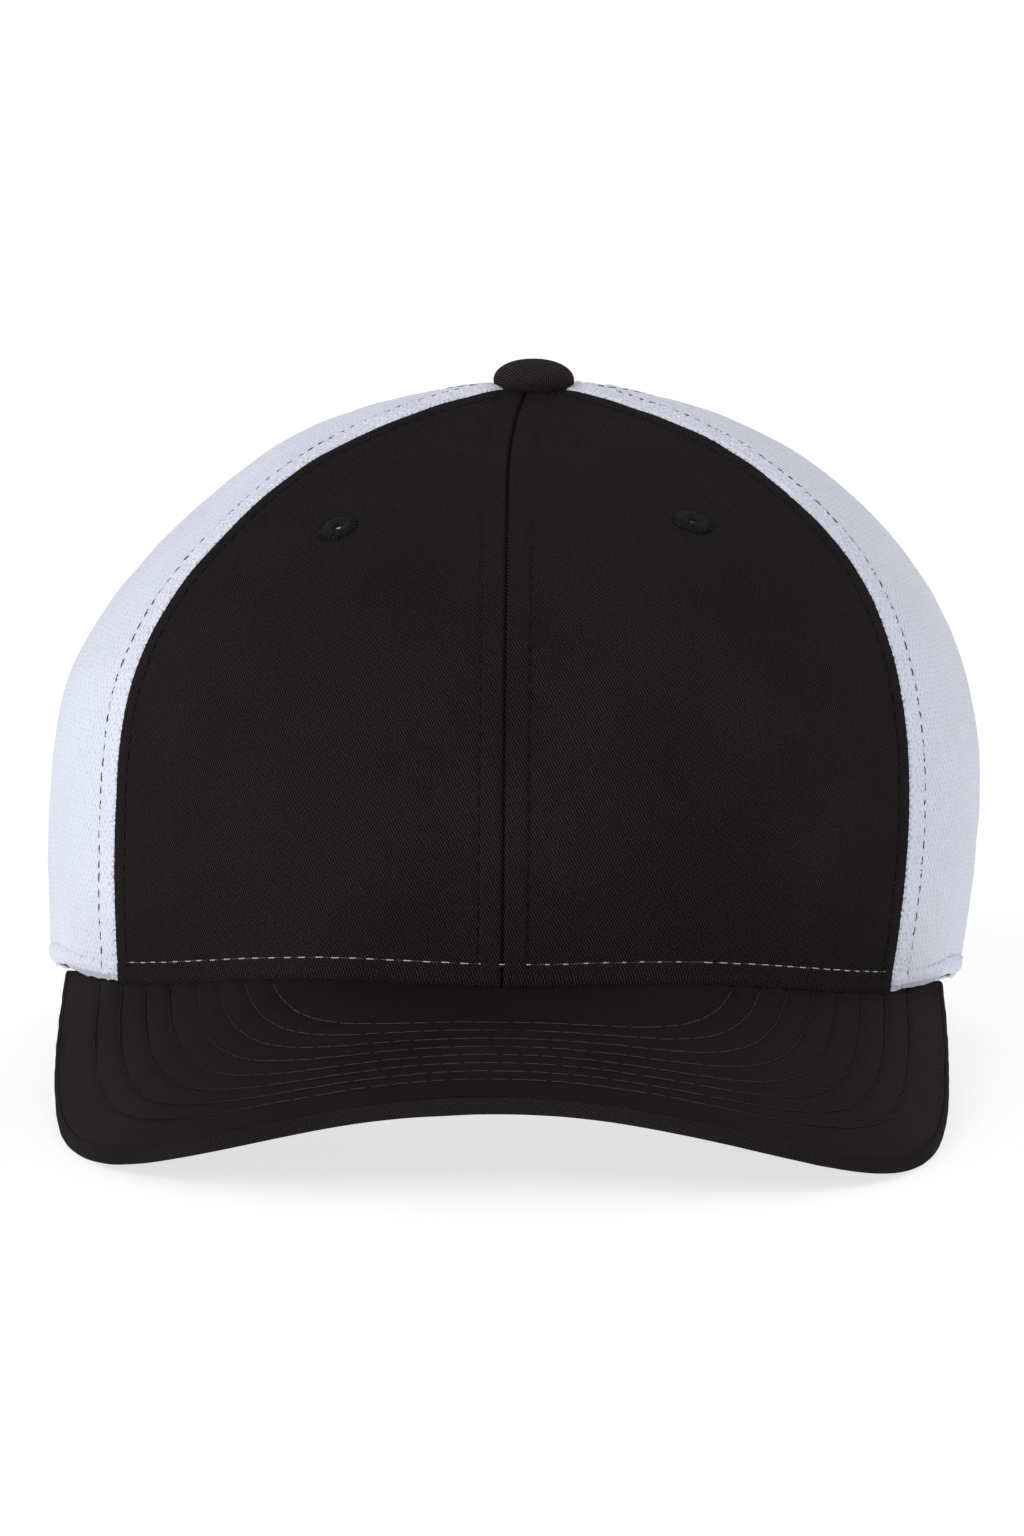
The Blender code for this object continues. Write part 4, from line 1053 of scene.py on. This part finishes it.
def make_visor():
    """One closed skin: top, rounded rim and underside."""
    across = np.linspace(0, 1, VISOR_COLUMNS)
    top, top_uv = visor_skin(across[None, :], 0.0, 1)
    under, under_uv = visor_skin(across[None, :], VISOR_THICKNESS, -1)
    flat = visor_edge_point(across, VISOR_FLAT_INSET)
    away = unit(visor_edge_point(across, 0) - visor_edge_point(across, 1))
    rim, rim_uv = [], []
    for inset, drop in VISOR_RIM:
        row = np.column_stack([visor_edge_point(across, inset), visor_height(flat[:, 0], flat[:, 1]) - drop])
        row[:, :2] += away * (0.06 * wobble(row, 9, 92))[:, None] * (0.2 < drop < 3)
        rim.append(row)
        rim_uv.append(np.stack([across * EDGE_LENGTH, np.full(VISOR_COLUMNS, -drop)], -1))
    grid = np.concatenate([top, np.array(rim), under[::-1]])
    uv = np.concatenate([top_uv, np.array(rim_uv), under_uv[::-1]])
    total = len(grid)
    index = np.arange(total * VISOR_COLUMNS).reshape(total, VISOR_COLUMNS)
    around = grid_quads(np.concatenate([index, index[:1]]))
    row_of = np.arange(total).repeat(VISOR_COLUMNS - 1)
    band = (row_of >= VISOR_ROWS + 1) & (row_of < VISOR_ROWS + len(rim))
    band_uv = np.stack(np.broadcast_arrays(across * EDGE_LENGTH, grid[..., 2]), -1).reshape(-1, 2)
    corner_uv = np.where(band[:, None, None], band_uv[around], uv.reshape(-1, 2)[around])
    caps = []
    for line in (index[:, 0], index[:, -1]):
        for k in range(total // 2 - 1):
            caps.append((line[k], line[k + 1], line[total - 2 - k], line[total - 1 - k]))
    quads, corner_uv = np.concatenate([around, caps]), np.concatenate([corner_uv, band_uv[np.array(caps)]])
    replaced = ["visor_top_cover", "visor_under_cover"]
    visor = faces_mesh("visor_fabric", grid.reshape(-1, 3), quads, corner_uv, VISOR, replaced=replaced)
    # The rim takes the lighter band twill (painted light); the top and underside take the darker visor twill
    # (painted shade).
    visor.data.materials.append(BAND[0])
    on_band = np.zeros(len(quads), np.int32)
    on_band[: len(band)] = band
    visor.data.polygons.foreach_set("material_index", on_band)
    for face, drop, sign, seed in (("top", 0.13, 1, 6), ("under", VISOR_THICKNESS - 0.13, -1, 7)):
        rows = [(*row_line(k, drop, sign), *VISOR_GAUGE) for k in range(ROWS)]
        stitches(f"visor_stitches_{face}", rows, 0.13, VISOR_THREAD, 0.12, 0.08, seed=seed)


# Inside of the crown

BLACK_TAPE_DEPTH, WHITE_TAPE_DEPTH, TAPE_HALF_WIDTH, TAPE_THICKNESS = 2.45, 1.35, 6.0, 0.45
TAPE_TOP_GAP, TAPE_STITCH = 9.5, 4.6
BUCKRAM_DEPTH, BUCKRAM_THICKNESS, BUCKRAM_HOLE = 1.4, 0.55, 4.2
SWEATBAND_THICKNESS, LABEL_GAP, LABEL_THICKNESS = 1.15, 1.55, 0.35


def crown_strip(name, azimuth, share, depth, thickness, uv, look, replaced, lift=0.0):
    """A sheet that lies inside the crown at a depth, thicker where it is lifted."""
    base, normal = on_crown(azimuth, share)
    outer = base - normal * (depth - crown_sway(base))[..., None]
    inner = outer - normal * np.broadcast_to(thickness + lift, azimuth.shape)[..., None]
    return shell(name, outer, inner, uv, look, replaced=[replaced])


def seam_tapes():
    """Each tape's place, seam, depth, look and the height it starts at."""
    yield "front_centre", centre_seam, BLACK_TAPE_DEPTH, BLACK_TAPE, 2.0
    for side_name, side in SIDES.items():
        yield f"front_side_{side_name}", straight_seam(FRONT_SIDE_SEAM, side), BLACK_TAPE_DEPTH, BLACK_TAPE, 2.0
        yield f"side_rear_{side_name}", straight_seam(SIDE_REAR_SEAM, side), WHITE_TAPE_DEPTH, WHITE_TAPE, 2.0
    yield "rear_centre", straight_seam(REAR_SEAM), WHITE_TAPE_DEPTH, WHITE_TAPE, 57.0


def make_tapes():
    """Each tape lies flat on its seam with a rounded edge and two rows of stitches."""
    rows = {"black_tape": [], "white_tape": []}
    v = np.linspace(0, 1, 120)[:, None]
    u = np.array([-1, -0.96, -0.8, -0.62, -0.45, -0.15, 0.15, 0.45, 0.62, 0.8, 0.96, 1.0])[None, :]
    edge = 0.12 * (1 - bell(np.abs(u) * 6, 4.6, 0.7)) * (1 - step(np.abs(u), 0.85, 1.0)) - 0.2 * (np.abs(u) > 0.97)
    for place, seam, depth, look, low in seam_tapes():
        share = v + 0 * u
        for _ in range(2):
            length = meridian_length(seam(share))
            share = lerp(low / length, 1 - TAPE_TOP_GAP / length, v) + 0 * u
        middle = seam(share)
        radius = lookup(RADII, middle, share)
        half = np.minimum(TAPE_HALF_WIDTH, 0.42 * radius)
        azimuth = middle + u * half / radius
        lift = edge + 0.05 * wobble(surface(azimuth, share), 7, 33)
        uv, node = np.stack([u * half, share * length], -1), f"seam_tape_{place}"
        crown_strip(f"{node}_web", azimuth, share, depth, TAPE_THICKNESS, uv, look, node, lift)
        for offset in (TAPE_STITCH, -TAPE_STITCH):
            line = seam_line(seam, offset, low + 1, 11, -depth - 0.5, 0.32)
            rows[look[1]].append((*within(line), *INSIDE_GAUGE))
    stitches("black_tape_stitches", rows["black_tape"], 0.15, BLACK_THREAD, seed=11)
    stitches("white_tape_stitches", rows["white_tape"], 0.15, WHITE_THREAD, seed=12)


def make_buckram():
    rows, columns = row_places([0, 1, 2, 3, 4, 5.6], 3.0), np.array([0, 1.5, 3, 5.0])
    for side_name, side in SIDES.items():
        seams = (centre_seam, straight_seam(FRONT_SIDE_SEAM, side))[::side]
        azimuth, share, d_first, d_last, low, _ = laid_out(*seams, rows, columns, columns, 24, 9.5, 2.0)
        inset = 0.8 / np.maximum(lookup(RADII, azimuth, share), 5)
        azimuth = azimuth + inset * (bell(d_first, 0, 2) - bell(d_last, 0, 2))
        base, normal = on_crown(azimuth, share)
        hole = cell_mean(np.linalg.norm(base - EYELETS[side_name][0], axis=-1)) < BUCKRAM_HOLE
        outer = base - normal * (BUCKRAM_DEPTH + 0.06 * wobble(base, 12, 31) - crown_sway(base))[..., None]
        inner = outer - normal * BUCKRAM_THICKNESS
        uv, replaced = np.stack([d_first, low], -1), [f"front_buckram_{side_name}"]
        shell(f"buckram_{side_name}", outer, inner, uv, BUCKRAM, hole, replaced=replaced)


def make_sweatband():
    """A soft band with a bound top edge and a stitched foot."""
    u = np.linspace(-1, 1, 520)[None, :]
    v = np.array([0, 0.01, 0.03, 0.06, 0.09, 0.12, 0.16, 0.24, 0.34, 0.45, 0.56, 0.67, 0.78, 0.86, 0.885, 0.905,
                  0.93, 0.955, 0.975, 0.99, 1.0])[:, None]
    azimuth = SWEATBAND_END * u + 0 * v
    share = (1 + SWEATBAND_HEIGHT * v) / meridian_length(azimuth)
    lift = 0.35 * step(v, 0.88, 0.91) * (1 - step(v, 0.97, 1.0)) - 0.2 * bell(v * 32, 3.0, 0.5)
    lift = lift - 0.25 * (v < 0.005) - 0.25 * (v > 0.995)
    lift = lift + 0.22 * wobble(np.stack([azimuth * 95, 0 * azimuth], -1), 16, 35) * np.sin(v * math.pi)
    lift = lift + 0.06 * wobble(surface(azimuth, share), 5, 36)
    uv = np.stack([azimuth * 92, v * SWEATBAND_HEIGHT + 0 * u], -1)
    sizes = SWEATBAND_DEPTH, SWEATBAND_THICKNESS
    crown_strip("sweatband_cloth", azimuth, share, *sizes, uv, SWEATBAND, "sweatband", lift)
    end, rows = SWEATBAND_END - 0.02, []
    for height, lift in ((1 + SWEATBAND_HEIGHT * 0.895, 1.3), (4.0, 1.05)):
        line = level_line(-end, end, height, -SWEATBAND_DEPTH - lift, 900)
        rows.append((*within(line), *INSIDE_GAUGE))
    stitches("sweatband_stitches", rows, 0.15, BLACK_THREAD, seed=13)


def make_label():
    u, v = np.meshgrid(np.linspace(0, 1, 40), np.linspace(0, 1, 24))
    azimuth = math.radians(-105) + math.radians(20) * u
    share = (8 + 16 * v) / meridian_length(azimuth)
    curl = 0.35 * bell(v, 0, 0.2) + 0.08 * wobble(np.stack([u * 30, v * 16], -1), 9, 38)
    uv, depth = np.stack([u * 32, v * 16], -1), SWEATBAND_DEPTH + LABEL_GAP + curl
    crown_strip("care_label_cloth", azimuth, share, depth, LABEL_THICKNESS, uv, LABEL, "care_label")
    line = level_line(math.radians(-104), math.radians(-86), 22.8, -SWEATBAND_DEPTH - 1.95, 80)
    stitches("care_label_stitches", [(*within(line), *LABEL_GAUGE)], 0.12, LABEL_THREAD, seed=14)


# Rear arch and closure

# How far each line of the binding's fold is above the arch's edge and below the crown's surface
BINDING_FOLD = [(5.4, -0.25), (5.3, -0.5), (4.6, -0.62), (3.8, -0.52), (2.6, -0.6), (1.2, -0.55), (0.3, -0.4),
                (-0.05, 0.0), (-0.2, 0.6), (-0.05, 1.25), (0.4, 1.6), (1.6, 1.75), (3.8, 1.7), (5.6, 1.8),
                (6.8, 1.75), (7.0, 1.5), (6.8, 1.25), (5.0, 1.2), (2.0, 1.1), (0.85, 0.95), (0.4, 0.4),
                (0.85, -0.05), (2.0, -0.12), (4.6, -0.12), (5.3, -0.12)]


def arch_points(turn, grow, foot):
    """Across and up along a line that runs a distance outside the arch's edge."""
    cos, sin = np.cos(turn), np.sin(turn)
    x = ARCH_HALF_WIDTH * np.sign(cos) * np.abs(cos) ** (2 / ARCH_POWER)
    z = ARCH_HEIGHT * np.abs(sin) ** (2 / ARCH_POWER)
    nx, nz = cos / ARCH_HALF_WIDTH, sin / ARCH_HEIGHT
    size = np.hypot(nx, nz)
    return x + nx / size * grow, np.maximum(z + nz / size * grow, foot)


def make_binding():
    """A tape folded over the arch's edge, from the outside to the inside, with a row of stitches."""
    turn = np.linspace(0, math.pi, 260)
    grid, uv = [], []
    for (grow, depth), run in zip(BINDING_FOLD, path_run(np.array(BINDING_FOLD))):
        row = rear_point(*arch_points(turn, grow, 0.6), depth)
        row[:, 1] += 0.05 * wobble(row, 6, 55)
        grid.append(row)
        uv.append(np.stack([np.full(len(turn), run), turn * 46], -1))
    index = np.arange(len(grid) * len(turn)).reshape(len(grid), len(turn))
    quads = grid_quads(np.concatenate([index, index[:1]]))
    points, uv = np.concatenate(grid), np.concatenate(uv)
    faces_mesh("arch_binding_tape", points, quads, uv, WHITE_TAPE, replaced=["arch_binding"])
    x, z = arch_points(np.linspace(0.03, math.pi - 0.03, 400), 3.9, 0.8)
    front, back = rear_point(x, z, -0.45), rear_point(x, z, 1.85)
    normals = unit(front - back)
    rows = [(front, normals, *ARCH_GAUGE), (back, -normals, *ARCH_GAUGE)]
    stitches("arch_stitches", rows, 0.16, WHITE_THREAD, seed=15)


STRAP_CENTRE = np.array([0, REAR_REACH - REAR_TUCK - STRAP_OUTER_DEPTH - STRAP_RADIUS, 0])
STRAP_INNER_RADIUS = STRAP_RADIUS - STRAP_THICKNESS - STRAP_GAP
PEG = [(0.001, 0.42), (0.9, 0.4), (1.6, 0.25), (2.1, -0.02), (2.28, -0.3), (2.12, -0.55), (1.9, -0.7)]


def strap_out(angle):
    """The direction out from the straps' centre, at an angle from the middle of the back."""
    return np.stack([np.sin(angle), np.cos(angle), 0 * np.asarray(angle)], -1)


def strap_frame(angle, radius):
    """Axes on the middle of a strap: along it, up, and out from the cap."""
    out, place = strap_out(angle), np.eye(4)
    middle = np.array([0, 0, STRAP_BOTTOM + STRAP_HEIGHT / 2])
    spot = STRAP_CENTRE + middle + radius * out
    place[:3, :] = np.stack([[out[1], -out[0], 0], [0, 0, 1], out, spot], 1)
    return place


def make_snaps():
    """Raised rims round the holes, and headed pegs."""
    head = [(radius, PEG_HEIGHT + height) for radius, height in PEG] + [(1.9, -0.2), (0.001, -0.2)]
    for index in range(SNAP_COUNT):
        angle = SNAP_PITCH / STRAP_RADIUS * (index - (SNAPS_ENGAGED - 1) / 2)
        rim, place = ring(HOLE_RADIUS + 0.55, 0.0, 0.55, 0.38, 11), strap_frame(angle, STRAP_RADIUS)
        turned(f"snap_rim_{index + 1}", rim, 36, PLASTIC, place, body="outer_strap")
        place = strap_frame(-angle, STRAP_INNER_RADIUS)
        turned(f"snap_peg_{index + 1}", head, 28, PLASTIC, place, body="inner_strap")


def make_strap_root(name, side, radius):
    """The stitches that hold a strap's root, and the roll that it bends on."""
    start, end = (HINGE_ANGLE + (HINGE_CLEARANCE + d) / STRAP_RADIUS for d in (1.4, TAB_LENGTH - 1.4))
    low, high = STRAP_BOTTOM + 1.6, STRAP_BOTTOM + STRAP_HEIGHT - 1.6
    corners = [(start, low), (end, low), (end, high), (start, high), (start, low)]
    t, rows = np.linspace(0, 1, 24), []
    for depth, sign in ((0.0, 1), (STRAP_THICKNESS, -1)):
        for (a0, z0), (a1, z1) in zip(corners, corners[1:]):
            normal = strap_out(side * lerp(a0, a1, t))
            points = normal * (radius - depth) + STRAP_CENTRE + lerp(z0, z1, t)[:, None] * np.array([0, 0, 1.0])
            rows.append((points, sign * normal, *TAB_GAUGE))
    stitches(f"{name}_tab_stitches", rows, 0.17, BLACK_THREAD, seed=16)
    roll = HINGE_CLEARANCE - 0.04
    foot, head = STRAP_BOTTOM + 0.3, STRAP_BOTTOM + STRAP_HEIGHT - 0.3
    bar = [(0.001, foot), (roll * 0.7, foot), (roll, foot + 0.25), (roll, head - 0.25), (roll * 0.7, head),
           (0.001, head)]
    place = np.eye(4)
    place[:3, 3] = STRAP_CENTRE + (radius - STRAP_THICKNESS / 2) * strap_out(side * HINGE_ANGLE)
    turned(f"{name}_hinge_roll", bar, 24, PLASTIC, place, body=f"{name}_strap")


def dress(node, look, bevel):
    """A CAD node keeps its shape, with softened edges and a finished material."""
    obj = frame["nodes"][node]
    for slot in obj.material_slots:
        slot.link = "OBJECT"
        slot.material = look[0]
    edge = obj.modifiers.new("edge", "BEVEL")
    edge.width, edge.segments = bevel * MM, 2
    edge.limit_method, edge.angle_limit = "ANGLE", math.radians(35)


def dress_nodes():
    for node in ("outer_snap_strap", "inner_snap_strap", "outer_strap_tab", "inner_strap_tab"):
        dress(node, PLASTIC, 0.3)
    dress("visor_board", BOARD, 0.15)
    dress("button_shell", METAL, 0.12)
    dress("button_rivet", METAL, 0.2)


# Stage


def camera():
    """A long lens from straight ahead, a little above the level of the cap's opening."""
    distance, aim = 2500.0, np.array([0.0, 0.0, 41.0])
    pixels_per_mm, middle = 5.0763, (507.3, 774.3)
    width, height, sensor = 1024, 1536, 36.0
    pitch, roll, yaw = math.radians(1.70), math.radians(0.70), math.radians(-0.19)
    ahead = np.array([0, math.cos(pitch), -math.sin(pitch)])
    right, up = np.array([1.0, 0, 0]), np.array([0, math.sin(pitch), math.cos(pitch)])
    r = right * math.cos(roll) + up * math.sin(roll)
    u = -right * math.sin(roll) + up * math.cos(roll)
    spot = aim - distance * ahead
    spot = spot + r * (width / 2 - middle[0]) / pixels_per_mm + u * (middle[1] - height / 2) / pixels_per_mm
    turn = Matrix.Rotation(-yaw, 4, "Z")
    local = Matrix(np.stack([r, u, -ahead], 1).tolist()).to_4x4()
    data = bpy.data.cameras.new("camera")
    data.sensor_width, data.lens = sensor, pixels_per_mm * distance / height * sensor
    data.clip_start, data.clip_end = 0.05, 60
    obj = bpy.data.objects.new("camera", data)
    obj.matrix_world = CAP @ Matrix.Translation((turn @ Vector(spot)) * MM) @ turn @ local
    bpy.context.scene.collection.objects.link(obj)
    bpy.context.scene.camera = obj


def sun(name, strength, azimuth, elevation, angle):
    """A broad distant light from an azimuth round the cap (0 in front, positive to its left)."""
    data = bpy.data.lights.new(name, "SUN")
    data.energy, data.angle = strength, math.radians(angle)
    obj = bpy.data.objects.new(name, data)
    a, e = math.radians(azimuth), math.radians(elevation)
    toward = Vector((math.sin(a) * math.cos(e), -math.cos(a) * math.cos(e), math.sin(e)))
    obj.rotation_euler = toward.to_track_quat("Z", "Y").to_euler()
    bpy.context.scene.collection.objects.link(obj)


# Along X, Y and Z of a direction: from, to, and the sky's strength at each
SKY = ((-1, 1, 1.06, 0.96), (-1, 1, 1.08, 0.92), (0, 1, 0.95, 0.31))


def studio_world():
    """A soft room: slightly brighter ahead and to the wearer's right, and dimmer overhead."""
    world = bpy.data.worlds.new("studio")
    w = Nodes(world, "Background")
    direction = w.axes(w.add("ShaderNodeTexCoord", {}))
    x, y, z = (w.range(part, *values) for part, values in zip(direction, SKY))
    w.put("Color", (0.97, 0.98, 1.0, 1))
    w.put("Strength", w.maths("MULTIPLY", w.maths("MULTIPLY", x, y), z))
    return world


def stage():
    """A pale floor that glows a little, two broad lights and a soft room."""
    scene = bpy.context.scene
    scene.view_settings.view_transform = "Standard"
    scene.view_settings.look = "None"
    scene.world = studio_world()
    sun("key", 1.3, -40, 30, 60)
    sun("fill", 0.65, 150, 33, 90)
    mesh = bpy.data.meshes.new("floor")
    size = 15.0
    mesh.from_pydata([(-size, -size, 0), (size, -size, 0), (size, size, 0), (-size, size, 0)], [], [(0, 1, 2, 3)])
    floor = bpy.data.objects.new("floor", mesh)
    scene.collection.objects.link(floor)
    grey, other_grey = (0.35, 0.35, 0.35), (0.36, 0.36, 0.36)
    t = Tree("floor", grey, 0.9, specular=0.1)
    t.put("Base Color", t.blend(t.spread(t.noise(3, 2), 0, 1), grey, other_grey))
    t.put("Emission Color", (1, 1, 1, 1))
    t.put("Emission Strength", 0.72)
    mesh.materials.append(t.material)


make_crown()
make_fold_yarn()
make_hem_stitches()
make_eyelets()
make_button()
make_visor()
make_tapes()
make_buckram()
make_sweatband()
make_label()
make_binding()
make_snaps()
make_strap_root("outer", 1, STRAP_RADIUS)
make_strap_root("inner", -1, STRAP_INNER_RADIUS)
dress_nodes()
stage()
camera()
